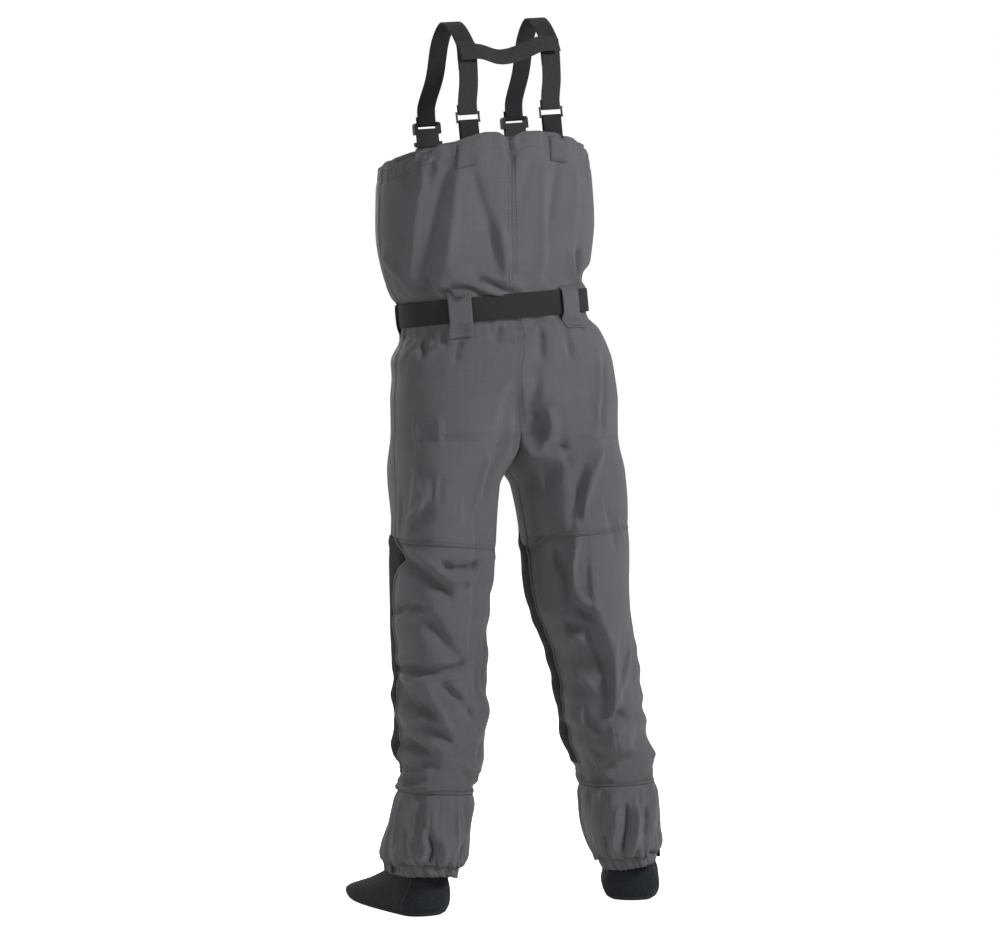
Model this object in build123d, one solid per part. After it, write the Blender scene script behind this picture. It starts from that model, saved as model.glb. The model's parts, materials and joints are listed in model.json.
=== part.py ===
from build123d import *
import math
import os

# Chest waders with stocking feet, standing as they hang on a wearer.
# Millimetres. +Z is up, the wearer's front faces -Y and the wearer's left is +X.
# The floor is z = 0. The garment is drawn about the wearer's own axis, and
# base_shift then moves it so that its bounding box is centred on the origin.

base_shift = (78.8, 50.7)

# Cloth, webbing and rubber
fabric = 1.4
ply_gap = 0.15
seam_gap = 0.1
tape = 0.4
neoprene = 4.0
webbing = 1.8
strap_width = 34.0
belt_width = 40.0
belt_thickness = 2.2

# Heights
crotch = 792.0
belt_height = 1021.0
hem_height = 1266.0
guard_seam = 205.0
knee_seam = {"left": 626.0, "right": 648.0}

# The upper body leans to the wearer's left
lean = 6.0
chest_origin = (12.0, 0.0, 1332.0)
rear_strap_side = 76.0
rear_ring_depth = 95.0
front_strap_side = {"left": 65.0, "right": -98.0}
front_strap_depth = {"left": -113.0, "right": -107.0}

# Feet: the middle of each heel, and how far its toe turns out
heel_centre = {"left": (140.0, 10.0), "right": (-266.0, -15.0)}
toe_out = {"left": 10.0, "right": -22.0}

# Hardware
ring_wire = 1.8
ring_inside = strap_width + 2.0
ring_opening = 11.0
pin_clearance = 0.4
sides = {"left": 1, "right": -1}


class Ring:
    """A level section through the garment: an oval with its own centre, turn and tilt."""

    def __init__(self, height, x, y, half_width, half_depth,
                 squareness=2.2, tilt=0.0, rise=0.0, toe_turn=0.0, front_depth=None):
        self.height = height
        self.x = x
        self.y = y
        self.half_width = half_width
        self.half_depth = half_depth
        self.squareness = squareness
        self.tilt = tilt
        self.rise = rise
        self.toe_turn = toe_turn
        self.front_depth = front_depth if front_depth is not None else half_depth

    def values(self):
        return [self.height, self.x, self.y, self.half_width, self.half_depth,
                self.squareness, self.tilt, self.rise, self.toe_turn, self.front_depth]

    def point(self, bearing, inset=0.0):
        """Bearing 0 is the front, 90 the wearer's left, 180 the back."""
        across = rounded(math.sin(math.radians(bearing)), self.squareness)
        along = rounded(-math.cos(math.radians(bearing)), self.squareness)
        depth = self.front_depth if along < 0 else self.half_depth
        x = (self.half_width - inset) * across
        y = (depth - inset) * along
        turn = math.radians(self.toe_turn)
        turned_x = x * math.cos(turn) - y * math.sin(turn)
        turned_y = x * math.sin(turn) + y * math.cos(turn)
        z = self.height + self.tilt * turned_x + self.rise * along ** 2
        return Vector(self.x + turned_x, self.y + turned_y, z)


def rounded(value, squareness):
    return math.copysign(abs(value) ** (2 / squareness), value)


def level(rings, height):
    """The section at a height, between the two rings that it lies between."""
    for low, high in zip(rings, rings[1:]):
        if low.height <= height <= high.height:
            share = (height - low.height) / (high.height - low.height)
            mixed = [a + share * (b - a) for a, b in zip(low.values(), high.values())]
            return Ring(*mixed)
    raise ValueError(f"no ring at {height}")


def stretch_of(rings, bottom, top):
    """The rings from one height to another, with a cut ring at each end."""
    middle = [ring for ring in rings if bottom + 6 < ring.height < top - 6]
    return [level(rings, bottom)] + middle + [level(rings, top)]


def spread(start, end, count):
    return [start + (end - start) * i / (count - 1) for i in range(count)]


def panel(rings, start, end, inset=0.0, thickness=fabric, points=11):
    """A curved sheet between two bearings, closed all round by ruled faces."""
    bearings = spread(start + seam_gap, end - seam_gap, points)
    outer = []
    inner = []
    for ring in rings:
        outer.append(Edge.make_spline([ring.point(bearing, inset) for bearing in bearings]))
        inner.append(Edge.make_spline([ring.point(bearing, inset + thickness) for bearing in bearings]))
    ends = [[Edge.make_line(a @ share, b @ share) for a, b in zip(outer, inner)] for share in (0, 1)]
    faces = [Face.make_surface_from_curves(outer[i], inner[i]) for i in (0, -1)]
    for curves in (outer, inner, ends[0], ends[1]):
        faces += [Face.make_surface_from_curves(low, high) for low, high in zip(curves, curves[1:])]
    return Solid(Shell(faces))


def solid_oval(rings, inset=0.0, points=24):
    """A solid block through whole rings."""
    sections = []
    for ring in rings:
        outline = [ring.point(360 * i / points, inset) for i in range(points)]
        sections.append(Wire([Edge.make_spline(outline, periodic=True)]))
    return Solid.make_loft(sections, True)


def strip(centres, across, width, thickness):
    """A band of webbing that follows a line of points, with its width along `across`."""
    path = Edge.make_spline([Vector(*point) for point in centres])
    sections = []
    for i in range(len(centres) * 3):
        share = i / (len(centres) * 3 - 1)
        middle = path.position_at(share)
        side = Vector(*across).normalized() * (width / 2)
        out = path.tangent_at(share).cross(side).normalized() * (thickness / 2)
        corners = [middle + side + out, middle + side - out, middle - side - out, middle - side + out]
        sections.append(Wire.make_polygon(corners, close=True))
    return Solid.make_loft(sections, True)


def folded_loop(width, pin_radius, leg, ply=webbing):
    """Webbing folded over a bar along X at the origin, its two legs hanging down."""
    inner = pin_radius + pin_clearance
    outer = inner + ply
    profile = Circle(outer) + Pos(0, -leg / 2) * Rectangle(2 * outer, leg)
    profile -= Circle(inner) + Pos(0, -leg / 2) * Rectangle(2 * inner, leg)
    return Plane.YZ * Pos(0, 0, -width / 2) * extrude(profile, width)


def fold_offset(pin_radius):
    """How far the middle of each leg of a folded loop lies from its bar's axis."""
    return pin_radius + pin_clearance + webbing / 2


def chest(shape):
    """Places a shape from the leaning chest frame."""
    return Location(chest_origin, (0, lean, 0)) * shape


def waist(shape):
    """Places a shape from the leaning belt frame."""
    return Location((0, 0, belt_height), (0, lean, 0)) * shape


def foot(side, shape):
    """Places a shape from a foot's frame: origin at the heel centre, toes along -Y."""
    x, y = heel_centre[side]
    return Location((x, y, 0), (0, 0, toe_out[side])) * shape


parts = {}

# ---------------------------------------------------------------- body sections

torso = [
    Ring(crotch, -20, 0, 211, 121),
    Ring(865, -20, 0, 208, 125),
    Ring(905, -18, 0, 203, 122, tilt=-0.02),
    Ring(946, -13, 0, 194, 115, tilt=-0.05),
    Ring(970, -10, 0, 177, 105, tilt=-0.09),
    Ring(belt_height - 24, -1, 0, 164, 97, tilt=-0.115),
    Ring(belt_height, 0, 0, 164, 97, tilt=-0.115),
    Ring(belt_height + 24, 1, 0, 164, 97, tilt=-0.115),
    Ring(1062, 9, 0, 174, 101, tilt=-0.115),
    Ring(1090, 12, 0, 186, 108, tilt=-0.11),
    Ring(1150, 15, 0, 195, 113, tilt=-0.108, rise=10),
    Ring(1215, 17, 0, 193, 113, tilt=-0.105, rise=28),
    Ring(hem_height, 18, 0, 189, 110, tilt=-0.105, rise=42),
]

legs = {
    "left": [
        Ring(guard_seam, 106, 6, 62, 68),
        Ring(240, 102, 5, 66, 72),
        Ring(314, 99, 3, 74.5, 80),
        Ring(416, 100, 2, 74, 83),
        Ring(518, 101, 2, 80, 90),
        Ring(626, 98, 2, 85, 97),
        Ring(722, 97, 2, 93, 107),
        Ring(crotch - 2, 86, 0, 104, 119, squareness=2.6),
    ],
    "right": [
        Ring(guard_seam, -236, -10, 64, 69),
        Ring(240, -230, -10, 68, 74),
        Ring(314, -212, -10, 77, 82),
        Ring(416, -197, -10, 76, 85),
        Ring(518, -168, -10, 85, 95),
        Ring(626, -155, -5, 89, 101),
        Ring(722, -141, 0, 96, 110),
        Ring(crotch - 2, -126, 0, 104, 119, squareness=2.6),
    ],
}

guards = {
    "left": [
        Ring(72, 136, 4, 50, 76, toe_turn=10),
        Ring(90, 133, 5, 59, 77, toe_turn=9),
        Ring(122, 127, 5, 67, 75, toe_turn=6),
        Ring(165, 117, 5, 67, 73, toe_turn=2),
        Ring(guard_seam, 106, 6, 64, 70),
    ],
    "right": [
        Ring(72, -263, -19, 48, 75, toe_turn=-22),
        Ring(90, -258, -17, 55, 76, toe_turn=-20),
        Ring(122, -250, -14, 65, 74, toe_turn=-14),
        Ring(165, -243, -12, 68, 73, toe_turn=-6),
        Ring(guard_seam, -236, -10, 66, 71),
    ],
}

# A stocking foot, in the foot's frame: back of the heel at +Y, toes at -Y
foot_sole = 5.0
stocking = [
    Ring(0, 0, 0, 46, 42, squareness=2.4, front_depth=216),
    Ring(foot_sole, 0, 0, 49, 45, squareness=2.4, front_depth=222),
    Ring(22, 0, 0, 51, 47, squareness=2.4, front_depth=226),
    Ring(40, 0, 0, 50, 47, squareness=2.4, front_depth=196),
    Ring(56, 0, 0, 46, 46, squareness=2.2, front_depth=138),
    Ring(70, 0, 0, 41, 42, squareness=2.2, front_depth=72),
    Ring(92, 0, 0, 40, 41, squareness=2.2, front_depth=62),
    Ring(125, 0, 0, 40, 41, squareness=2.2, front_depth=58),
]

# ---------------------------------------------------------------- bib and seat

bib = stretch_of(torso, belt_height, hem_height)
seat = stretch_of(torso, crotch, belt_height - ply_gap)
parts["bib_front"] = panel(bib, -90, 90, points=21)
parts["bib_back_left"] = panel(bib, 90, 180)
parts["bib_back_right"] = panel(bib, 180, 270)
parts["lap_left"] = panel(seat, 0, 90)
parts["lap_right"] = panel(seat, 270, 360)
parts["seat_left"] = panel(seat, 90, 180)
parts["seat_right"] = panel(seat, 180, 270)

# The hem is a tunnel: the bib outside, a facing inside and an elastic between them
tunnel = [level(torso, hem_height - 24), level(torso, hem_height - 1)]
elastic_run = [level(torso, hem_height - 18), level(torso, hem_height - 6)]
facing_inset = fabric + 1.6
parts["hem_facing"] = panel(tunnel, 90.5, 449.5, inset=facing_inset, thickness=1.0, points=41)
parts["hem_elastic"] = panel(elastic_run, 90.5, 449.5, inset=fabric + 0.3, thickness=1.0, points=41)

# Tapes seal the long seams on the inside
taped = stretch_of(torso, crotch + 10, hem_height - 30)
tape_inset = fabric + ply_gap
parts["back_seam_tape"] = panel(taped, 174, 186, inset=tape_inset, thickness=tape, points=5)
parts["side_seam_tapes"] = Compound([
    panel(taped, bearing - 4, bearing + 4, inset=tape_inset, thickness=tape, points=5)
    for bearing in (90, 270)
])

# The gusset closes the fork between the tops of the two legs
fork_x = torso[0].x
gusset_outline = Wire([
    Edge.make_spline([Vector(fork_x, -112, 0), Vector(fork_x + 26, 0, 0), Vector(fork_x, 112, 0)]),
    Edge.make_spline([Vector(fork_x, 112, 0), Vector(fork_x - 26, 0, 0), Vector(fork_x, -112, 0)]),
])
parts["crotch_gusset"] = Pos(0, 0, crotch - 1.8) * extrude(Face(gusset_outline), fabric, dir=(0, 0, 1))

# ---------------------------------------------------------------- legs

for side in sides:
    rings = legs[side]
    knee = knee_seam[side]
    thigh = stretch_of(rings, knee, crotch - 2)
    shank = stretch_of(rings, guard_seam, knee - ply_gap)
    parts[f"thigh_front_{side}"] = panel(thigh, -90, 90, points=15)
    parts[f"thigh_back_{side}"] = panel(thigh, 90, 270, points=15)
    parts[f"shin_front_{side}"] = panel(shank, -90, 90, points=15)
    parts[f"calf_back_{side}"] = panel(shank, 90, 270, points=15)
    # A second, tougher ply covers the knee and the shin
    overlay = stretch_of(rings, guard_seam + 42, knee + 26)
    parts[f"knee_shin_guard_{side}"] = panel(overlay, -92, 92, inset=-1.5, thickness=1.3, points=17)

# ---------------------------------------------------------------- stocking feet and gravel guards

for side in sides:
    # The stocking rises inside the guard to the seam where the leg is joined on
    x, y = heel_centre[side]
    cuff = legs[side][0]
    inverse = Location((x, y, 0), (0, 0, toe_out[side])).inverse()
    cuff_centre = (inverse * Pos(cuff.x, cuff.y, 0)).position
    cuff_rings = [
        Ring(168, cuff_centre.X * 0.6, cuff_centre.Y * 0.6 - 4, 47, 50),
        Ring(guard_seam - 1, cuff_centre.X, cuff_centre.Y, cuff.half_width - 2, cuff.half_depth - 4),
    ]
    shell = stocking[1:] + cuff_rings
    parts[f"bootie_upper_{side}"] = foot(side, panel(shell, -128, 128, thickness=neoprene, points=23))
    parts[f"bootie_heel_{side}"] = foot(side, panel(shell, 128, 232, thickness=neoprene))
    parts[f"bootie_sole_{side}"] = foot(side, solid_oval(stocking[:2]))

    rings = guards[side]
    hem_band = stretch_of(rings, 72, 84)
    parts[f"gravel_guard_{side}"] = panel(rings, 90.4, 449.6, thickness=1.2, points=33)
    parts[f"guard_elastic_{side}"] = panel(hem_band, 90.4, 449.6, inset=1.4, thickness=1.2, points=33)

# ---------------------------------------------------------------- side-release buckles

buckle_wall = 2.4
buckle_cavity = 6.4
tongue_length = 25.0
tongue_thickness = 2.2
buckle_bar = 2.0
bar_height = 38.5
plug_bar_drop = 14.5


def buckle_socket(width):
    """Mouth at z = 0, facing down; the webbing bar is at the top."""
    outside = width + 15
    depth = buckle_cavity + 2 * buckle_wall
    body = Pos(0, 0, 21) * Box(outside, depth, 42)
    body = fillet(body.edges().filter_by(Axis.Y), 5)
    body -= Pos(0, 0, 14) * Box(width + 6, buckle_cavity, 28)
    for end in (-1, 1):
        body -= Pos(end * outside / 2, 0, 15) * Box(11, depth + 2, 13)
    body -= Pos(0, 0, 37) * Box(width + 2, depth + 2, 12)
    body += Pos(0, 0, bar_height) * Rot(0, 90, 0) * Cylinder(buckle_bar, width + 4)
    return body


def buckle_plug(width):
    """The base hangs below z = 0 and the tongue and two arms rise into the socket."""
    base = Pos(0, 0, -9.6) * Box(width + 13, 7, 18)
    base = fillet(base.edges().filter_by(Axis.Y), 4)
    base -= Pos(0, 0, -12.6) * Box(width + 2, 9, 14)
    base += Pos(0, 0, -plug_bar_drop) * Rot(0, 90, 0) * Cylinder(buckle_bar, width + 4)
    shape = base + Pos(0, 0, tongue_length / 2 - 1) * Box(7, tongue_thickness, tongue_length)
    for end in (-1, 1):
        arm = Pos(end * (width / 2 - 1), 0, tongue_length / 2 - 1) * Box(5, tongue_thickness, tongue_length)
        pad = Pos(end * (width / 2 + 0.2), 0, 15) * Box(4.4, tongue_thickness, 9)
        shape += arm + pad
    return shape


# ---------------------------------------------------------------- shoulder harness

ring_bar_gap = ring_opening + 2 * ring_wire
ring_outside = ring_inside + 2 * ring_wire


def wire_ring():
    """A rectangular wire ring, its lower bar along X at the origin."""
    shape = None
    for height in (0, ring_bar_gap):
        bar = Pos(0, 0, height) * Rot(0, 90, 0) * Cylinder(ring_wire, ring_outside + 2 * ring_wire)
        shape = bar if shape is None else shape + bar
    for end in (-1, 1):
        upright = Pos(end * (ring_outside / 2), 0, ring_bar_gap / 2)
        shape += upright * Cylinder(ring_wire, ring_bar_gap + 2 * ring_wire)
    return shape


# Points of each strap over the shoulder, from the rear ring to the front buckle,
# as (share of the way from the rear strap to the front strap, depth, height)
shoulder_line = [
    (0.0, 97.0, 62.0), (0.0, 93.0, 100.0), (0.12, 80.0, 133.0), (0.5, 4.0, 176.0),
    (0.75, -46.0, 152.0), (0.93, -78.0, 92.0),
]
rear_strap_top = 3
over_gap = 2.5
buckle_mouth = -22.0
socket_bar = buckle_mouth + bar_height
front_leg = 16.0
rear_leg = 14.0
rear_fold = fold_offset(ring_wire)
front_fold = fold_offset(buckle_bar)

ring_shapes = []
rear_tabs = []
front_tabs = []
socket_shapes = []
plug_shapes = []
for side, sign in sides.items():
    rear_x = sign * rear_strap_side
    front_x = front_strap_side[side]
    front_y = front_strap_depth[side]
    ring_shapes.append(chest(Pos(rear_x, rear_ring_depth, 0) * wire_ring()))
    rear_tabs.append(chest(Pos(rear_x, rear_ring_depth, 0) * folded_loop(strap_width, ring_wire, 50)))

    # The shoulders stay upright while the hem leans, so the straps drift back across
    drift = math.tan(math.radians(lean))
    route = []
    for share, depth, height in shoulder_line:
        x = rear_x + share * (front_x - rear_x) - drift * height
        route.append((x, depth, height))
    loop_top = ring_bar_gap + rear_leg
    loop = Pos(rear_x, rear_ring_depth, ring_bar_gap) * Rot(180, 0, 0)
    loop *= folded_loop(strap_width, ring_wire, rear_leg)
    rear_route = [
        (rear_x, rear_ring_depth + rear_fold, loop_top - 1),
        (rear_x - 2, rear_ring_depth + rear_fold - 0.5, loop_top + 12),
    ]
    rear_route += route[:rear_strap_top]
    rear = strip(rear_route, (1, 0, 0), strap_width, webbing)
    parts[f"rear_strap_{side}"] = chest(rear + loop)

    # The shoulder strap starts under the rear strap and ends in a fold round the socket's bar
    start_x, start_y, start_z = route[1]
    next_x, next_y, next_z = route[2]
    top_route = [(start_x, start_y - over_gap, start_z - 14), (start_x, start_y - over_gap, start_z)]
    top_route += [(next_x, next_y - over_gap, next_z - 2)] + route[3:]
    top_route += [
        (front_x - 1, front_y + 2 * front_fold, 48.0),
        (front_x, front_y + front_fold, socket_bar + front_leg - 1),
    ]
    over = strip(top_route, (1, 0, 0), strap_width, webbing)
    front_loop = Pos(front_x, front_y, socket_bar) * Rot(180, 0, 0)
    front_loop *= folded_loop(strap_width, buckle_bar, front_leg)
    parts[f"shoulder_strap_{side}"] = chest(over + front_loop)

    socket_shapes.append(chest(Pos(front_x, front_y, buckle_mouth) * buckle_socket(strap_width)))
    plug_shapes.append(chest(Pos(front_x, front_y, buckle_mouth) * buckle_plug(strap_width)))
    tab = Pos(front_x, front_y, buckle_mouth - plug_bar_drop) * folded_loop(strap_width, buckle_bar, 40)
    front_tabs.append(chest(tab))

parts["rear_rings"] = Compound(ring_shapes)
parts["rear_tabs"] = Compound(rear_tabs)
parts["front_tabs"] = Compound(front_tabs)
parts["strap_buckle_sockets"] = Compound(socket_shapes)
parts["strap_buckle_plugs"] = Compound(plug_shapes)

# The cross strap joins the two rear straps between the shoulder blades and sags a little
cross_height = 112.0
cross_line = [
    (rear_strap_side - drift * cross_height + 16, 93.6, cross_height + 6),
    (rear_strap_side - drift * cross_height - 18, 95.0, cross_height + 3),
    (20.0, 96.0, cross_height - 9),
    (-35.0, 96.0, cross_height - 6),
    (-rear_strap_side - drift * cross_height + 18, 95.0, cross_height + 3),
    (-rear_strap_side - drift * cross_height - 16, 93.6, cross_height + 6),
]
parts["cross_strap"] = chest(strip(cross_line, (0, -0.42, 1), 26, webbing))

# Fabric patches cover the tab ends on the outside of the hem
patch_rings = [level(torso, hem_height - 38), level(torso, hem_height - 4)]
parts["tab_patches"] = Compound([
    panel(patch_rings, bearing - 6, bearing + 6, inset=-1.2, thickness=1.0, points=5)
    for bearing in (158.5, 206.5)
])

# ---------------------------------------------------------------- belt

belt_play = 2.8
buckle_line = -104.0
belt_straight = 66.0
belt_front = {"left": buckle_line - fold_offset(buckle_bar), "right": buckle_line}
belt_end = {"left": 36.0, "right": -60.0}
belt_wrap = Ring(0, 0, 0, 164 + belt_play, 97 + belt_play)


def belt_side(offset):
    """One face of the webbing, from its front left end round the back to its front right end."""
    wrap = [belt_wrap.point(bearing, -offset) for bearing in spread(50, 310, 27)]
    left = [Vector(x, belt_front["left"] - offset, 0) for x in (belt_end["left"], belt_straight)]
    right = [Vector(x, belt_front["right"] - offset, 0) for x in (-belt_straight, belt_end["right"])]
    ahead = Vector(1, 0, 0)
    curve = Edge.make_spline([left[1]] + wrap + [right[0]], tangents=[ahead, ahead])
    return [Edge.make_line(*left), curve, Edge.make_line(*right)]


def belt_cap(side):
    x = belt_end[side]
    return Edge.make_line((x, belt_front[side], 0), (x, belt_front[side] - webbing, 0))


belt_outline = Wire(belt_side(0) + belt_side(webbing) + [belt_cap("left"), belt_cap("right")])
belt_band = Pos(0, webbing / 2, -belt_width / 2) * extrude(Face(belt_outline), belt_width, dir=(0, 0, 1))

# The belt buckle lies on its side: the plug comes from the wearer's left
buckle_x = 6.0
plug_place = Pos(buckle_x, buckle_line, 0) * Rot(0, -90, 0)
plug_fold = Pos(buckle_x + plug_bar_drop, buckle_line, 0) * Rot(0, -90, 0)
plug_fold *= folded_loop(belt_width, buckle_bar, 17)
parts["belt_webbing"] = waist(belt_band + plug_fold)
parts["belt_plug"] = waist(plug_place * buckle_plug(belt_width))
parts["belt_socket"] = waist(plug_place * buckle_socket(belt_width))

# The other end of the belt is folded round the socket's bar and its two plies
# run on either side of the fixed webbing, which they slide along
tail_fold = Pos(buckle_x - bar_height, buckle_line, 0) * Rot(0, 90, 0)
parts["belt_tail"] = waist(tail_fold * folded_loop(belt_width, buckle_bar + 0.9, 32))

keeper = Box(9, webbing + 5, belt_width + 5) - Box(11, webbing + 1.2, belt_width + 1)
parts["belt_keeper"] = waist(Pos(52, belt_front["left"], 0) * keeper)

# Loops of the shell fabric hold the belt
loop_width = 40.0
loop_height = 66.0
loop_stand = 6.5


def belt_loop():
    """A strip sewn on at its top and bottom ends, standing off in the middle. It faces +Y."""
    half = loop_height / 2
    line = [(0, 0, -half), (0, 0, -half + 7), (0, loop_stand, -half + 12),
            (0, loop_stand, half - 12), (0, 0, half - 7), (0, 0, half)]
    outline = [(y, z) for _, y, z in line] + [(y + fabric, z) for _, y, z in reversed(line)]
    profile = make_face(Polyline(*outline, close=True))
    return Plane.YZ * Pos(0, 0, -loop_width / 2) * extrude(profile, loop_width)


waist_ring = Ring(0, 0, 0, 165.5, 98.5)
loop_shapes = []
for bearing in (146, 216, 62, 298):
    spot = waist_ring.point(bearing)
    ahead = waist_ring.point(bearing + 3) - waist_ring.point(bearing - 3)
    facing = math.degrees(math.atan2(ahead.Y, ahead.X)) + 180
    loop_shapes.append(waist(Pos(spot.X, spot.Y, 0) * Rot(0, 0, facing) * belt_loop()))
parts["belt_loops"] = Compound(loop_shapes)

# ---------------------------------------------------------------- chest pocket and its zip

pocket = stretch_of(torso, 1096, 1228)
parts["chest_pocket"] = panel(pocket, -40, 36, inset=-1.6, thickness=1.2, points=11)
zip_x = 15.0
zip_face = -117.5
zip_bottom = 1110.0
zip_top = 1244.0
zip_length = zip_top - zip_bottom
zip_middle = (zip_top + zip_bottom) / 2
parts["zip_tape"] = Pos(zip_x, zip_face, zip_middle) * Box(24, 1.2, zip_length)
teeth = Pos(zip_x, zip_face - 1.2, zip_middle) * Box(4, 1.0, zip_length - 6)
parts["zip_teeth"] = teeth

slider_top = zip_top - 8
slider = Pos(0, -3.6, -6) * Box(9, 2.0, 12) + Pos(0, -6.1, -6) * Box(3, 4.4, 9)
slider -= Pos(0, -5.9, -6) * Rot(0, 90, 0) * Cylinder(1.3, 9)
parts["zip_slider"] = Pos(zip_x, zip_face, slider_top) * slider

pull_bar = Rot(0, 90, 0) * Cylinder(0.9, 8)
pull = pull_bar
for end in (-1, 1):
    pull += Pos(end * 3.4, 0, -7) * Box(1.8, 1.8, 14)
pull += Pos(0, 0, -22) * Box(8.6, 1.8, 20)
pull -= Pos(0, 0, -27) * Rot(90, 0, 0) * Cylinder(1.8, 4)
parts["zip_pull"] = Pos(zip_x, zip_face - 5.9, slider_top - 6) * pull

# ---------------------------------------------------------------- gravel guard hooks

hook_forward = {"left": 85.2, "right": 79.0}
hook_height = 92.0
hook_pitch = 62.0
hook_bar = 1.2


def lace_hook():
    """A pressed hook: a bar along X at the origin, a shank below it and a turned-up end."""
    shape = Rot(0, 90, 0) * Cylinder(hook_bar, 15)
    for end in (-1, 1):
        shape += Pos(end * 6.6, 0, -4) * Box(1.8, 1.6, 8)
    shape += Pos(0, 0, -9.6) * Box(15, 1.6, 5)
    shape += Pos(0, 0, -16) * Box(7, 1.6, 10)
    shape += Pos(0, -2.4, -20.2) * Box(7, 6.4, 1.6)
    shape += Pos(0, -4.8, -17.4) * Box(7, 1.6, 7.2)
    return shape


hook_tabs = []
pull_tabs = []
for side in sides:
    place = Pos(0, -hook_forward[side], hook_height)
    parts[f"lace_hook_{side}"] = foot(side, place * Rot(-hook_pitch, 0, 0) * lace_hook())
    hook_tabs.append(foot(side, place * Rot(180, 0, 0) * folded_loop(10, hook_bar, 15, ply=1.2)))
    bearing = 90 if side == "left" else 270
    edge = level(guards[side], 78).point(bearing, -3.4)
    pull_tabs.append(Pos(edge.X, edge.Y, edge.Z + 2) * Box(2.4, 10, 16))
parts["hook_tabs"] = Compound(hook_tabs)
parts["guard_side_tabs"] = Compound(pull_tabs)

# ---------------------------------------------------------------- write

os.makedirs("parts", exist_ok=True)
for name, shape in parts.items():
    export_step(Pos(*base_shift, 0) * shape, f"parts/{name}.step")
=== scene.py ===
import bpy
import json
import math
from bisect import bisect_right
from mathutils import Matrix, Vector, noise

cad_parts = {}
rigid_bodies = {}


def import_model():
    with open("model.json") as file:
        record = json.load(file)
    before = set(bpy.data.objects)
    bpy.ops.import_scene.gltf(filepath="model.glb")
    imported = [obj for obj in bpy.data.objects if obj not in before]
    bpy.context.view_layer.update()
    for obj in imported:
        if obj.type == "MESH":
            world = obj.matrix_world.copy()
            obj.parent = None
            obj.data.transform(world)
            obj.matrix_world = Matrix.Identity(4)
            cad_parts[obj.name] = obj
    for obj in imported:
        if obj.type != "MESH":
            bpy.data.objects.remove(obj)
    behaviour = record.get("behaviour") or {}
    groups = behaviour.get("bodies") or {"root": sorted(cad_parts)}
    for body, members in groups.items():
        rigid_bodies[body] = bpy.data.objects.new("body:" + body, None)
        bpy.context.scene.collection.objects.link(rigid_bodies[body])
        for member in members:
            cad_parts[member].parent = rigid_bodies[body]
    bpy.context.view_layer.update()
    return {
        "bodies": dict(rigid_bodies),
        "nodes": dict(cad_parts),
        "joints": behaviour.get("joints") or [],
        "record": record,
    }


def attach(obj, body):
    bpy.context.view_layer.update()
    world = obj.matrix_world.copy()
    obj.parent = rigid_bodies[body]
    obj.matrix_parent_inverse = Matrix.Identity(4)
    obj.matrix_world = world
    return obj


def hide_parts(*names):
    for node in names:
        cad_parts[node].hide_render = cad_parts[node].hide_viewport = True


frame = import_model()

# Chest waders, dressed over their CAD frame. Lengths below are millimetres in the
# wearer's frame (+X is the wearer's left, -Y the front) unless a name says metres.

base_shift = Vector((78.8, 50.7, 0))
belt_height = 1021.0
guard_seam = 205.0
knee_seam = {"left": 626.0, "right": 648.0}
guard_stitch = guard_seam + 34
lean = math.radians(6)
chest_origin = Vector((12, 0, 1332))
sides = {"left": 1, "right": -1}
heel_centre = {"left": (140.0, 10.0), "right": (-266.0, -15.0)}
toe_out = {"left": 10.0, "right": -22.0}

photo_azimuth = math.radians(156.5)
photo_distance = 5.0
photo_aim = (0, 0, 750)
photo_offset = 0.0102
photo_lens = 105.84
floor_reach = 14


def metres(point):
    return (Vector(point) + base_shift) / 1000


def smooth(value):
    value = min(1.0, max(0.0, value))
    return value * value * (3 - 2 * value)


def rounded(value, squareness=2.2):
    return math.copysign(abs(value) ** (2 / squareness), value)


# ------------------------------------------------------------------ stage

def make_camera():
    """A level camera at the photograph's bearing. It stands photo_distance metres off."""
    away = Vector((math.sin(photo_azimuth), -math.cos(photo_azimuth), 0))
    across = Vector((math.cos(photo_azimuth), math.sin(photo_azimuth), 0))
    eye = metres(photo_aim) + photo_offset * across + photo_distance * away
    data = bpy.data.cameras.new("camera")
    data.lens = photo_lens
    data.sensor_width = 36
    camera = bpy.data.objects.new("camera", data)
    camera.location = eye
    camera.rotation_mode = "QUATERNION"
    camera.rotation_quaternion = (-away).to_track_quat("-Z", "Y")
    bpy.context.collection.objects.link(camera)
    bpy.context.scene.camera = camera


def add_light(name, place, target, size, power):
    data = bpy.data.lights.new(name, "AREA")
    data.shape = "RECTANGLE"
    data.size, data.size_y = size
    data.energy = power
    lamp = bpy.data.objects.new(name, data)
    lamp.location = place
    lamp.rotation_mode = "QUATERNION"
    lamp.rotation_quaternion = (Vector(target) - Vector(place)).to_track_quat("-Z", "Y")
    bpy.context.collection.objects.link(lamp)


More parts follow.
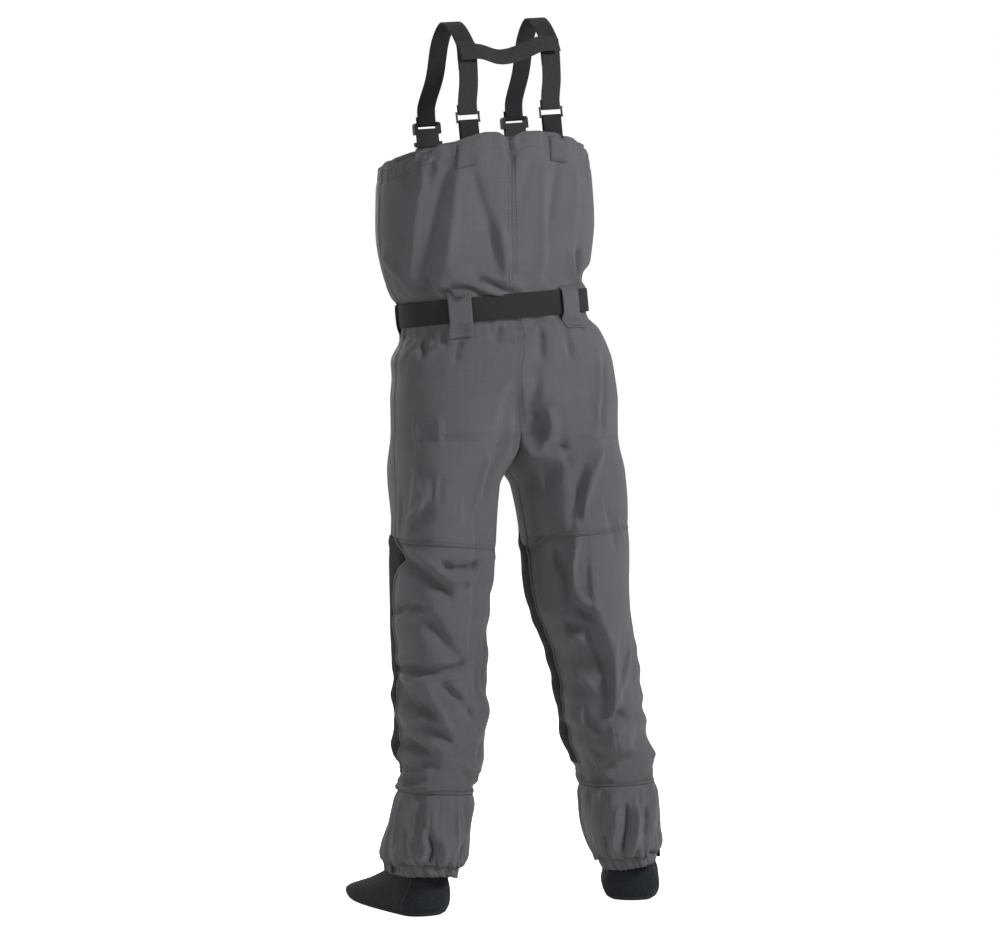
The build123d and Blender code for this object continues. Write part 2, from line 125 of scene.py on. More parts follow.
def make_stage():
    """Soft studio light on white paper. Only the camera sees the background as full white."""
    bpy.context.scene.view_settings.view_transform = "Standard"
    world = bpy.data.worlds.new("studio")
    world.use_nodes = True
    tree = world.node_tree
    background = tree.nodes["Background"]
    background.inputs["Color"].default_value = (1, 1, 1, 1)
    seen = tree.nodes.new("ShaderNodeLightPath")
    glow = tree.nodes.new("ShaderNodeMapRange")
    glow.inputs["To Min"].default_value = 0.34
    glow.inputs["To Max"].default_value = 1.0
    tree.links.new(seen.outputs["Is Camera Ray"], glow.inputs["Value"])
    tree.links.new(glow.outputs["Result"], background.inputs["Strength"])
    bpy.context.scene.world = world
    target = (0, 0, 0.85)
    add_light("key", (-2.2, 2.3, 2.9), target, (0.7, 1.0), 165)
    add_light("side", (3.0, 1.3, 1.5), target, (0.5, 2.2), 30)
    add_light("front", (0.6, -3.2, 2.4), target, (2.5, 2.5), 45)
    mesh = bpy.data.meshes.new("floor")
    signs = ((-1, -1), (1, -1), (1, 1), (-1, 1))
    corners = [(x * floor_reach, y * floor_reach, 0) for x, y in signs]
    mesh.from_pydata(corners, [], [(0, 1, 2, 3)])
    floor = bpy.data.objects.new("floor", mesh)
    bpy.context.collection.objects.link(floor)
    paper = bpy.data.materials.new("paper")
    paper.use_nodes = True
    shader = paper.node_tree.nodes["Principled BSDF"]
    shader.inputs["Base Color"].default_value = (0.93, 0.93, 0.93, 1)
    shader.inputs["Roughness"].default_value = 0.9
    shader.inputs["Emission Color"].default_value = (1, 1, 1, 1)
    seen = paper.node_tree.nodes.new("ShaderNodeLightPath")
    paper.node_tree.links.new(seen.outputs["Is Camera Ray"], shader.inputs["Emission Strength"])
    floor.data.materials.append(paper)


# ------------------------------------------------------------------ materials

wave_scale = 3.14 * 1000 / 6.283


class Recipe:
    """A material whose colour and bump come from nodes."""

    def __init__(self, name, color, roughness, sheen=0.0, metallic=0.0, coat=0.0, gloss=0.5):
        """Gloss is the shader's specular level, where 0.5 is a plain dielectric."""
        self.material = bpy.data.materials.new(name)
        self.material.use_nodes = True
        self.tree = self.material.node_tree
        self.shader = self.tree.nodes["Principled BSDF"]
        self.shader.inputs["Roughness"].default_value = roughness
        self.shader.inputs["Metallic"].default_value = metallic
        self.shader.inputs["Coat Weight"].default_value = coat
        self.shader.inputs["Specular IOR Level"].default_value = gloss
        self.shader.inputs["Sheen Weight"].default_value = sheen
        self.shader.inputs["Sheen Roughness"].default_value = 0.45
        self.shader.inputs["Base Color"].default_value = (*color, 1)
        self.color = color
        self.height = None
        self.coordinates = self.add("ShaderNodeTexCoord")

    def add(self, kind, **values):
        node = self.tree.nodes.new(kind)
        for key, value in values.items():
            setattr(node, key, value)
        return node

    def link(self, start, end):
        self.tree.links.new(start, end)

    def space(self, stretch=(1, 1, 1), output="Object"):
        mapping = self.add("ShaderNodeMapping")
        mapping.inputs["Scale"].default_value = stretch
        self.link(self.coordinates.outputs[output], mapping.inputs["Vector"])
        return mapping.outputs["Vector"]

    def noise(self, scale, detail=3.0, stretch=(1, 1, 1), output="Object"):
        node = self.add("ShaderNodeTexNoise")
        node.inputs["Scale"].default_value = scale
        node.inputs["Detail"].default_value = detail
        self.link(self.space(stretch, output), node.inputs["Vector"])
        return node.outputs["Fac"]

    def wave(self, pitch, direction, distortion=0.0):
        """Even bands along a UV direction. The pitch in mm sets how close they lie."""
        node = self.add("ShaderNodeTexWave", bands_direction=direction)
        node.inputs["Scale"].default_value = wave_scale / pitch
        node.inputs["Distortion"].default_value = distortion
        self.link(self.space(output="UV"), node.inputs["Vector"])
        return node.outputs["Fac"]

    def math(self, operation, a, b):
        node = self.add("ShaderNodeMath", operation=operation)
        for socket, value in zip(node.inputs, (a, b)):
            if isinstance(value, (int, float)):
                socket.default_value = value
            else:
                self.link(value, socket)
        return node.outputs["Value"]

    def tint(self, factor, low, high):
        """Colour runs between two multiples of the base colour."""
        ramp = self.add("ShaderNodeValToRGB")
        ramp.color_ramp.elements[0].color = (*[c * low for c in self.color], 1)
        ramp.color_ramp.elements[1].color = (*[min(1, c * high) for c in self.color], 1)
        ramp.color_ramp.elements[0].position = 0.3
        ramp.color_ramp.elements[1].position = 0.7
        self.link(factor, ramp.inputs["Fac"])
        self.link(ramp.outputs["Color"], self.shader.inputs["Base Color"])

    def rough(self, factor, low, high):
        spread = self.add("ShaderNodeMapRange")
        spread.inputs["To Min"].default_value = low
        spread.inputs["To Max"].default_value = high
        self.link(factor, spread.inputs["Value"])
        self.link(spread.outputs["Result"], self.shader.inputs["Roughness"])

    def bump(self, height, distance, strength=1.0):
        node = self.add("ShaderNodeBump")
        node.inputs["Distance"].default_value = distance
        node.inputs["Strength"].default_value = strength
        self.link(height, node.inputs["Height"])
        if self.height is not None:
            self.link(self.height, node.inputs["Normal"])
        self.height = node.outputs["Normal"]
        self.link(self.height, self.shader.inputs["Normal"])


def woven(name, color, roughness, pitch, sheen, slub=0.12, grain=0.00025, gloss=0.4):
    """Plain weave: two crossed sets of threads, with slubs along each and faint wear."""
    recipe = Recipe(name, color, roughness, sheen=sheen, gloss=gloss)
    weave = recipe.math("ADD", recipe.wave(pitch, "X"), recipe.wave(pitch, "Y"))
    along = recipe.noise(260, 3, (0.06, 1, 1), "UV")
    down = recipe.noise(260, 3, (1, 0.06, 1), "UV")
    slubs = recipe.math("MULTIPLY", recipe.math("ADD", along, down), 0.5)
    patches = recipe.noise(9, 4)
    shade = recipe.math("ADD", recipe.math("MULTIPLY", slubs, 0.7),
                        recipe.math("MULTIPLY", patches, 0.3))
    recipe.tint(shade, 1 - slub, 1 + slub)
    recipe.rough(patches, roughness - 0.06, roughness + 0.08)
    recipe.bump(weave, grain)
    recipe.bump(slubs, grain * 2.4)
    recipe.bump(recipe.noise(55, 4), 0.0009, 0.5)
    return recipe.material


def ribbed(name, color, pitch, cross_pitch, depth, roughness=0.75, sheen=0.04):
    """Webbing or knitted elastic: ribs along the strap, crossed by finer picks."""
    recipe = Recipe(name, color, roughness, sheen=sheen, gloss=0.18)
    ribs = recipe.wave(pitch, "X")
    picks = recipe.wave(cross_pitch, "Y", distortion=0.6)
    recipe.tint(recipe.math("MULTIPLY", recipe.math("ADD", ribs, picks), 0.5), 0.6, 1.5)
    recipe.rough(recipe.noise(60), roughness - 0.08, roughness + 0.1)
    recipe.bump(ribs, depth)
    recipe.bump(picks, depth * 0.6)
    recipe.bump(recipe.noise(900, 2), 0.0001, 0.6)
    return recipe.material


def foam_rubber(name, color):
    """Neoprene faced with a fine knit."""
    recipe = Recipe(name, color, 0.72, sheen=0.02, gloss=0.1)
    recipe.tint(recipe.noise(420, 4), 0.6, 1.5)
    recipe.rough(recipe.noise(14, 3), 0.58, 0.8)
    recipe.bump(recipe.wave(1.4, "X", distortion=1.2), 0.00018)
    recipe.bump(recipe.noise(1100, 3), 0.00022, 0.8)
    return recipe.material


def moulded(name, color, roughness):
    """Hard plastic with a fine spark-eroded grain."""
    recipe = Recipe(name, color, roughness, gloss=0.22)
    recipe.tint(recipe.noise(30, 3), 0.85, 1.25)
    recipe.rough(recipe.noise(160, 4), roughness - 0.1, roughness + 0.16)
    recipe.bump(recipe.noise(1800, 2), 0.00006, 0.7)
    return recipe.material


def coated_wire(name, color):
    """Bent wire under worn black enamel."""
    recipe = Recipe(name, color, 0.3, metallic=0.4, coat=0.3)
    recipe.tint(recipe.noise(90, 4), 0.7, 1.8)
    recipe.rough(recipe.noise(240, 4), 0.22, 0.5)
    recipe.bump(recipe.noise(700, 2), 0.00008, 0.6)
    return recipe.material


def film(name, color):
    """The heat-sealed tape over the seams inside."""
    recipe = Recipe(name, color, 0.35, coat=0.2)
    recipe.tint(recipe.noise(60, 3), 0.85, 1.1)
    recipe.rough(recipe.noise(40), 0.25, 0.5)
    recipe.bump(recipe.noise(300, 2), 0.0001)
    return recipe.material


def make_materials():
    grey = (0.086, 0.088, 0.098)
    return {
        "shell": woven("shell_cloth", grey, 0.5, 0.9, 0.06),
        # The seam welts' cloth is a little darker than the shell: painted shade along the seams.
        "seam": woven("seam_cloth_painted_shade", (0.076, 0.078, 0.087), 0.55, 0.9, 0.06),
        "piping": woven("piping_cloth", (0.12, 0.12, 0.122), 0.6, 0.9, 0.1, 0.1),
        "foot_thread": ribbed("neoprene_thread", (0.026, 0.026, 0.029), 0.8, 0.8, 0.0001),
        "lining": woven("shell_lining", (0.30, 0.31, 0.32), 0.7, 0.9, 0.1, 0.1),
        "tough": woven("tough_cloth", (0.024, 0.024, 0.025), 0.72, 1.2, 0.0, 0.3, 0.0004, 0.15),
        "neoprene": foam_rubber("neoprene_knit", (0.017, 0.0155, 0.019)),
        "heel": foam_rubber("neoprene_heel", (0.012, 0.0145, 0.0175)),
        "webbing": ribbed("belt_webbing_weave", (0.020, 0.020, 0.022), 2.2, 1.1, 0.0005),
        "strap": ribbed("strap_webbing_weave", (0.012, 0.012, 0.0145), 1.6, 0.9, 0.0003, 0.6),
        "elastic": ribbed("knitted_elastic", (0.027, 0.027, 0.030), 3.4, 1.6, 0.0006, 0.85, 0.06),
        "thread": ribbed("stitch_thread", (0.030, 0.031, 0.034), 0.6, 0.6, 0.0001),
        "plastic": moulded("buckle_acetal", (0.006, 0.006, 0.007), 0.5),
        "zip": moulded("zip_polyurethane", (0.022, 0.022, 0.024), 0.5),
        "wire": coated_wire("black_wire", (0.016, 0.016, 0.017)),
        "tape": film("seam_film", (0.20, 0.20, 0.21)),
    }


# ------------------------------------------------------------------ the garment's outline

class Outline:
    """Rounded level sections at a few heights, joined smoothly."""

    def __init__(self, rows, turns=None, fronts=None, squareness=2.2, frame=None):
        """Rows are (height, x, y, half width, half depth, tilt, rise)."""
        turns = turns or [0.0] * len(rows)
        fronts = fronts or [row[4] for row in rows]
        self.rows = [(*row, turn, front) for row, turn, front in zip(rows, turns, fronts)]
        self.heights = [row[0] for row in rows]
        self.squareness = squareness
        self.frame = frame

    def at(self, height):
        """x, y, half width, half depth, tilt, rise, turn and front depth at a height."""
        last = len(self.rows) - 1
        spot = min(max(bisect_right(self.heights, height) - 1, 0), last - 1)
        four = [self.rows[min(max(spot + step, 0), last)] for step in (-1, 0, 1, 2)]
        before, low, high, after = four
        step = high[0] - low[0]
        share = min(1.0, max(0.0, (height - low[0]) / step))
        square, cube = share * share, share ** 3
        values = []
        for i in range(1, 9):
            limit = 3 * abs(high[i] - low[i])
            leaving = (high[i] - before[i]) / (high[0] - before[0]) * step
            arriving = (after[i] - low[i]) / (after[0] - low[0]) * step
            leaving = max(-limit, min(limit, leaving))
            arriving = max(-limit, min(limit, arriving))
            values.append(low[i] * (2 * cube - 3 * square + 1) + high[i] * (3 * square - 2 * cube)
                          + leaving * (cube - 2 * square + share) + arriving * (cube - square))
        return values

    def point(self, bearing, height):
        """Bearing 0 is the front, 90 the wearer's left, 180 the back."""
        x, y, half_width, half_depth, tilt, rise, turn, front = self.at(height)
        across = rounded(math.sin(math.radians(bearing)), self.squareness)
        along = rounded(-math.cos(math.radians(bearing)), self.squareness)
        offset = Vector((half_width * across, (front if along < 0 else half_depth) * along, 0))
        offset.rotate(Matrix.Rotation(math.radians(turn), 3, "Z"))
        place = Vector((x, y, height)) + offset
        place.z += tilt * offset.x + rise * along * along
        return self.frame @ place if self.frame else place

    def arc(self, height):
        """Millimetres round the section for each degree of bearing."""
        values = self.at(height)
        return math.radians((values[2] + values[3]) / 2)


def placed(x, y, z, axis, angle):
    return Matrix.Translation((x, y, z)) @ Matrix.Rotation(angle, 4, axis)


chest_frame = placed(*chest_origin, "Y", lean)
waist_frame = placed(0, 0, belt_height, "Y", lean)
foot_frame = {side: placed(*heel_centre[side], 0, "Z", math.radians(toe_out[side]))
              for side in sides}

hem_height = 1266.0
guard_hem = 66.0
elastic_channel = 17.0
foot_sole = 5.0
fork_top = 812.0
fork_drop = 34.0

torso = Outline([
    (780, -20, 0, 208, 118, 0, 0),
    (865, -20, 0, 208, 125, 0, 0),
    (905, -18, 0, 203, 122, -0.02, 0),
    (946, -13, 0, 197, 117, -0.05, 0),
    (970, -10, 0, 184, 108, -0.09, 0),
    (belt_height - 22, -1, 0, 163, 96.5, -0.115, 0),
    (belt_height + 22, 1, 0, 163, 96.5, -0.115, 0),
    (1062, 9, 0, 171, 100, -0.115, 0),
    (1090, 12, 0, 181, 107, -0.11, 0),
    (1150, 15, 0, 190, 113, -0.108, 10),
    (1215, 17, 0, 189, 113, -0.105, 28),
    (hem_height + 1, 18, 0, 186, 110, -0.105, 42),
])
outlines = {
    "torso": torso,
    "left": Outline([
        (guard_seam, 110, 6, 59, 69, 0.05, 0),
        (240, 102, 5, 67, 73, 0, 0),
        (314, 99, 3, 75, 80, 0, 0),
        (416, 100, 2, 74, 83, 0, 0),
        (518, 101, 2, 80, 90, 0, 0),
        (626, 98, 2, 85, 97, 0.08, 0),
        (722, 97, 2, 93, 107, 0, 0),
        (800, 86, 0, 104, 119, 0, 0),
    ]),
    "right": Outline([
        (guard_seam, -236, -10, 61, 70, -0.05, 0),
        (240, -230, -10, 69, 75, 0, 0),
        (314, -212, -10, 77, 82, 0, 0),
        (416, -197, -10, 76, 85, 0, 0),
        (518, -168, -10, 85, 95, 0, 0),
        (648, -152, -4, 91, 103, -0.1, 0),
        (722, -141, 0, 96, 110, 0, 0),
        (800, -126, 0, 104, 119, 0, 0),
    ]),
    "guard_left": Outline([
        (guard_hem, 136, 4, 50, 74, 0.08, 6),
        (90, 133, 5, 58, 75, 0.08, 5),
        (122, 128, 5, 60, 74, 0.06, 3),
        (165, 120, 5, 60, 72, 0.05, 0),
        (guard_seam, 110, 6, 60, 70, 0.05, 0),
    ], turns=[10, 9, 6, 2, 0]),
    "guard_right": Outline([
        (guard_hem, -263, -19, 48, 74, -0.16, 0),
        (90, -258, -17, 54, 75, -0.15, 0),
        (122, -248, -14, 58, 74, -0.11, 0),
        (165, -242, -12, 61, 73, -0.07, 0),
        (guard_seam, -236, -10, 62, 71, -0.05, 0),
    ], turns=[-22, -20, -14, -6, 0]),
}


def stocking(side):
    """A stocking foot, drawn about its heel with its toes along -Y."""
    cuff = foot_frame[side].inverted() @ Vector((*outlines[side].at(guard_seam)[:2], 0))
    half_width, half_depth = outlines[side].at(guard_seam)[2:4]
    rows = [
        (0, 0, 0, 32, 31, 0, 0),
        (2, 0, 0, 37, 36, 0, 0),
        (foot_sole, 0, 0, 41, 40, 0, 0),
        (13, 0, 0, 47, 45, 0, 0),
        (24, 0, 0, 50, 48, 0, 0),
        (40, 0, 0, 49, 48, 0, 0),
        (56, 0, 0, 46, 46, 0, 0),
        (70, 0, 0, 41, 42, 0, 0),
        (92, 0, 0, 40, 41, 0, 0),
        (125, 0, 0, 40, 41, 0, 0),
        (168, cuff.x * 0.6, cuff.y * 0.6 - 4, 47, 50, 0, 0),
        (guard_seam - 1, cuff.x, cuff.y, half_width - 3, half_depth - 5, 0, 0),
    ]
    fronts = [200, 209, 215, 224, 222, 172, 116, 84, 66, 59, 50, half_depth - 5]
    return Outline(rows, fronts=fronts, squareness=2.3, frame=foot_frame[side])


for side in sides:
    outlines["foot_" + side] = stocking(side)


# ------------------------------------------------------------------ folds

# Each fold: part, its (bearing, height) points, then half width and size, both in mm.
# A negative size is a crease, a positive one a ridge.
folds = [
    ("torso", [(137, 1252), (130, 1202), (125, 1138), (113, 1056)], 15, 4),
    ("torso", [(150, 1246), (142, 1187), (136, 1122), (124, 1070)], 14, -4),
    ("torso", [(154, 1246), (152, 1172), (146, 1107)], 10, 3),
    ("torso", [(159, 1237), (165, 1187), (171, 1144), (177, 1062)], 9, -5),
    ("torso", [(173, 1160), (176, 1121), (178, 1056)], 6, 5),
    ("torso", [(190, 1230), (185, 1196), (183, 1173)], 7, -3),
    ("torso", [(196, 1237), (195, 1180), (195, 1096), (193, 1046)], 7, 3),
    ("torso", [(207, 1239), (202, 1189), (197, 1139)], 9, -3),
    ("torso", [(220, 1228), (216, 1139)], 10, 2),
    ("torso", [(222, 1118), (231, 1076), (240, 1046)], 7, -7),
    ("torso", [(214, 1109), (223, 1069), (231, 1048)], 8, 5),
    ("torso", [(134, 1050), (145, 1059), (155, 1058), (162, 1044)], 7, -6),
    ("torso", [(134, 1036), (144, 1045), (154, 1044), (160, 1035)], 7, 6),
    ("torso", [(160, 1074), (168, 1061), (177, 1051)], 7, -6),
    ("torso", [(163, 1063), (169, 1050), (176, 1041)], 7, 5),
    ("torso", [(137, 1097), (131, 1069), (120, 1048)], 7, -5),
    ("torso", [(92, 1132), (106, 1100)], 8, 4),
    ("torso", [(115, 984), (122, 949)], 7, -6),
    ("torso", [(134, 988), (135, 970)], 7, -4),
    ("torso", [(146, 970), (145, 939)], 6, -5),
    ("torso", [(169, 987), (166, 962)], 7, -4),
    ("torso", [(190, 980), (188, 931)], 6, -6),
    ("torso", [(205, 975), (205, 934)], 7, -4),
    ("torso", [(184, 934), (187, 912), (187, 884), (183, 856)], 6, -4),
    ("torso", [(176, 905), (170, 880), (165, 850), (163, 815)], 8, 4),
    ("torso", [(186, 850), (188, 832), (189, 812)], 7, -6),
    ("torso", [(226, 945), (221, 900), (217, 860), (217, 830), (214, 812)], 6, 6),
    ("torso", [(235, 940), (229, 895), (224, 850), (222, 815)], 9, -4),
    ("left", [(223, 800), (209, 788), (198, 774)], 7, -8),
    ("left", [(205, 796), (199, 776), (196, 733), (190, 672)], 7, 5),
    ("left", [(212, 780), (206, 740), (202, 700)], 9, -5),
    ("left", [(108, 651), (128, 680), (137, 704)], 6, 5),
    ("left", [(116, 645), (136, 672), (147, 698)], 8, -4),
    ("left", [(104, 606), (134, 583), (161, 557), (172, 540)], 8, -9),
    ("left", [(113, 616), (139, 599), (163, 574)], 7, 5),
    ("left", [(150, 596), (171, 585), (193, 591), (203, 600)], 7, -9),
    ("left", [(155, 580), (173, 572), (194, 580)], 7, 6),
    ("left", [(181, 561), (200, 586)], 6, 5),
    ("left", [(93, 512), (120, 528), (142, 526)], 7, -7),
    ("left", [(94, 500), (122, 516), (140, 514)], 7, 5),
    ("left", [(139, 511), (159, 477), (187, 430)], 12, -6),
    ("left", [(194, 432), (178, 423), (151, 416), (119, 422), (84, 421)], 7, -10),
    ("left", [(87, 408), (130, 402), (158, 405), (190, 416)], 7, 6),
    ("left", [(158, 402), (180, 373), (205, 331)], 9, -7),
    ("left", [(138, 400), (151, 366), (162, 336), (175, 302)], 7, 6),
    ("left", [(101, 359), (130, 362), (151, 347), (159, 336)], 9, -7),
    ("left", [(128, 325), (149, 324), (165, 310), (175, 296)], 7, -6),
    ("left", [(123, 315), (136, 300), (151, 285)], 7, 5),
    ("left", [(89, 290), (118, 297), (136, 289), (149, 279)], 7, -7),
    ("left", [(126, 266), (144, 267), (159, 260)], 7, -4),
    ("left", [(210, 484), (209, 421), (215, 372), (234, 328)], 6, 6),
    ("left", [(220, 484), (222, 421), (234, 375)], 7, -5),
    ("left", [(210, 268), (224, 282), (234, 300)], 8, -4),
    ("right", [(163, 795), (143, 784)], 7, -7),
    ("right", [(184, 800), (164, 776), (139, 745), (116, 719)], 16, -5),
    ("right", [(190, 800), (189, 780), (180, 748), (170, 701), (162, 653)], 7, 6),
    ("right", [(179, 779), (164, 715), (153, 661)], 9, -4),
    ("right", [(158, 643), (152, 603), (149, 545)], 7, 8),
    ("right", [(112, 650), (126, 620), (141, 578), (137, 519)], 12, -8),
    ("right", [(150, 541), (165, 522), (176, 514)], 7, 7),
    ("right", [(144, 530), (158, 508), (170, 502)], 8, -7),
    ("right", [(118, 500), (134, 482), (152, 484)], 9, -8),
    ("right", [(118, 480), (136, 468), (154, 476)], 7, 5),
    ("right", [(106, 505), (110, 460), (130, 410), (154, 365)], 9, 5),
    ("right", [(157, 505), (159, 455), (165, 408), (166, 365)], 12, -6),
    ("right", [(175, 508), (179, 447), (173, 365), (166, 326), (162, 255)], 7, 6),
    ("right", [(163, 318), (174, 336), (185, 330)], 7, -7),
    ("right", [(168, 308), (180, 322)], 7, 4),
    ("right", [(209, 456), (198, 428), (181, 383), (172, 345)], 6, 4),
    ("right", [(116, 365), (130, 330), (150, 300)], 9, -5),
    ("right", [(106, 262), (126, 272), (149, 262)], 7, -4),
    ("guard_left", [(150, 146), (161, 120), (148, 90)], 7, -8),
    ("guard_left", [(142, 150), (152, 118), (138, 92)], 7, 5),
    ("guard_left", [(172, 140), (176, 100)], 7, 4),
    ("guard_left", [(192, 190), (193, 100)], 5, 3),
    ("guard_left", [(212, 130), (204, 96)], 8, -5),
    ("guard_left", [(112, 150), (120, 100)], 8, -4),
    ("guard_right", [(166, 185), (174, 140), (168, 96)], 7, -6),
    ("guard_right", [(156, 180), (158, 140), (152, 96)], 8, 5),
    ("guard_right", [(182, 180), (186, 130), (180, 96)], 6, 5),
    ("guard_right", [(198, 170), (204, 120)], 8, -5),
    ("guard_right", [(140, 130), (136, 96)], 7, -5),
]


fold_gain = 1.3
fold_end = 0.22


def fold_height(part, bearing, height, arc, narrow=1.0):
    """The sum of a part's folds at a place. Narrow scales their half widths."""
    total = 0.0
    for owner, line, half_width, size in folds:
        if owner != part:
            continue
        half_width *= narrow
        nearest, run = None, 0.0
        for i, ((b0, h0), (b1, h1)) in enumerate(zip(line, line[1:])):
            start = Vector(((b0 - bearing) * arc, h0 - height))
            step = Vector(((b1 - b0) * arc, h1 - h0))
            share = min(1.0, max(0.0, -start.dot(step) / step.length_squared))
            distance = (start + step * share).length
            if nearest is None or distance < nearest:
                nearest, run = distance, (i + share) / (len(line) - 1)
        if nearest > 3 * half_width:
            continue
        ends = smooth(run / fold_end) * smooth((1 - run) / fold_end)
        fade = 0.25 + 0.75 * ends
        total += fold_gain * size * fade * math.exp(-((nearest / half_width) ** 1.5))
    return total


def soft_noise(point, scale, seed):
    """Smooth noise whose lumps are about scale mm apart. The seed picks another pattern."""
    return noise.noise(Vector(point) / scale + Vector((seed, seed * 2.3, 0)))


def bump_at(distance, half_width):
    return math.exp(-((distance / half_width) ** 2))


hem_stitch = hem_height - 20
pocket_bearings = (-40, 36)
pocket_heights = (1096.0, 1228.0)
belt_half = 20.0


def drape_torso(bearing, height, arc):
    """Gathers at the belt and the hem, and puckers along the centre back seam."""
    across = bearing * arc
    from_centre = (bearing - 180) * arc
    near_belt = abs(height - belt_height) - belt_half
    gather = math.exp(-max(0, near_belt) / 28) * smooth(near_belt / 8)
    ripple = soft_noise((across, 0, 0), 17, 7.7) + 0.6 * soft_noise((across, 0, 9), 8, 1.2)
    offset = 10 * gather * ripple
    offset += 2.5 * smooth(near_belt / 20) * math.exp(-max(0, near_belt) / 45)
    tuck = math.exp(-(hem_height - height) / 26)
    offset += 4 * tuck * soft_noise((across, 4, 0), 19, 5.3)
    offset += 1.6 * tuck * soft_noise((across, 9, 0), 6, 3.3)
    offset += 3.0 * tuck * bump_at(from_centre, 20) * math.sin(from_centre / 2.8)
    offset -= 2.0 * bump_at(height - hem_stitch, 4)
    offset -= 1.4 * bump_at(from_centre, 4) * smooth((height - fork_top) / 30)
    offset += 1.2 * bump_at(from_centre, 11) * soft_noise((0, 0, height), 9, 6.1)
    return offset


def hem_lift(bearing, height):
    """The gathered top edge wanders a little and dips at the centre back."""
    arc = torso.arc(hem_height)
    near = smooth(1 - (hem_height - height) / 60)
    dip = -9 * bump_at((bearing - 181) * arc, 10) + 3.5 * bump_at((bearing - 168) * arc, 14)
    return near * (dip + 2.2 * soft_noise((bearing * arc, 0, 0), 26, 4.4))


def drape_leg(part, bearing, height, arc, point):
    """Slack below the knee, gathers over the gravel guard and puckers at the seams."""
    across = bearing * arc
    slack = bump_at(height - 320, 170)
    offset = 8 * slack * soft_noise((point[0] / 2, point[1] / 2, height * 1.3), 36, 9.4)
    gather = math.exp(-(height - guard_seam) / 24)
    offset += 3 * gather * soft_noise((across, 0, 3), 14, 2.2)
    offset -= 1.8 * bump_at(height - knee_seam[part], 4)
    pucker = bump_at(height - knee_seam[part], 14)
    offset += 1.2 * pucker * soft_noise((across, 0, 0), 11, 8.8)
    offset -= 1.6 * bump_at(height - guard_stitch, 4)
    for seam in (90, 270):
        offset -= 1.2 * bump_at((bearing % 360 - seam) * arc, 4)
    return offset


def drape_guard(part, bearing, height, arc):
    """The gravel guard blouses over its elastic hem, gathered into many small pleats."""
    across = bearing * arc
    above = height - guard_hem - elastic_channel
    pleat = soft_noise((across, 0, 0), 8.5, 4.1) + 0.5 * soft_noise((across, 3, 0), 4.2, 2.7)
    offset = 13 * smooth((above + 3) / 6) * math.exp(-max(0, above) / 22) * pleat
    offset += 5 * smooth(above / 24)
    offset += 5 * smooth(above / 30) * soft_noise((across * 1.3, 0, height * 0.3), 22, 6.6)
    offset += 6 * (1 - smooth((above + 3) / 6)) * soft_noise((across, 5, 0), 3.6, 1.7)
    offset -= 2 * bump_at(above, 3.5)
    offset += 1.6 * math.exp(-(guard_seam - height) / 12) * soft_noise((across, 7, 0), 8, 1.9)
    offset -= 1.5 * bump_at(guard_seam - height, 5)
    return offset + fold_height(part, bearing, height, arc)


def drape_foot(height, point):
    """Neoprene creases softly across the instep and round the ankle."""
    ankle = bump_at(height - 72, 22)
    offset = 3.2 * ankle * soft_noise((point[0] / 2.2, point[1] / 2.2, height), 15, 3.9)
    return offset + 1.2 * smooth(height / 25) * soft_noise(point, 46, 2.1)


def drape(part, bearing, height, arc, point):
    """How far the cloth stands off its outline: folds, gathers and slack."""
    if part.startswith("foot"):
        return drape_foot(height, point)
    if part.startswith("guard"):
        return drape_guard(part, bearing, height, arc)
    offset = fold_height(part, bearing, height, arc)
    offset += 5.0 * soft_noise((point[0], point[1], point[2] / 2.2), 70, 3.1)
    if part == "torso":
        return offset + drape_torso(bearing, height, arc)
    return offset + drape_leg(part, bearing, height, arc, point)


# ------------------------------------------------------------------ the shell's mesh

def even(start, end, step):
    """Numbers from start to end, as near to a step apart as fits evenly."""
    count = max(1, round(abs(end - start) / step))
    return [start + (end - start) * i / count for i in range(count + 1)]


def at_pocket(bearing, height):
    """1 over the chest pocket and its zip, fading to 0 round them."""
    turn = (bearing + 180) % 360 - 180
    outside = max(pocket_bearings[0] - turn, turn - pocket_bearings[1], 0) * 2.6
    above = max(pocket_heights[0] - height, height - hem_height, 0)
    return 1 - smooth(math.hypot(outside, above) / 26)


def heel_skew(bearing, height):
    """The seams beside the heel panel run forward towards the sole."""
    forward = 26 * smooth((64 - height) / 60)
    return forward * (bump_at(bearing - 232, 34) - bump_at(bearing - 128, 34))


def seat_skew(bearing, height):
    """The centre back seam swings a little to the left over the seat."""
    return -5 * bump_at(bearing - 180, 50) * bump_at(height - 900, 55)


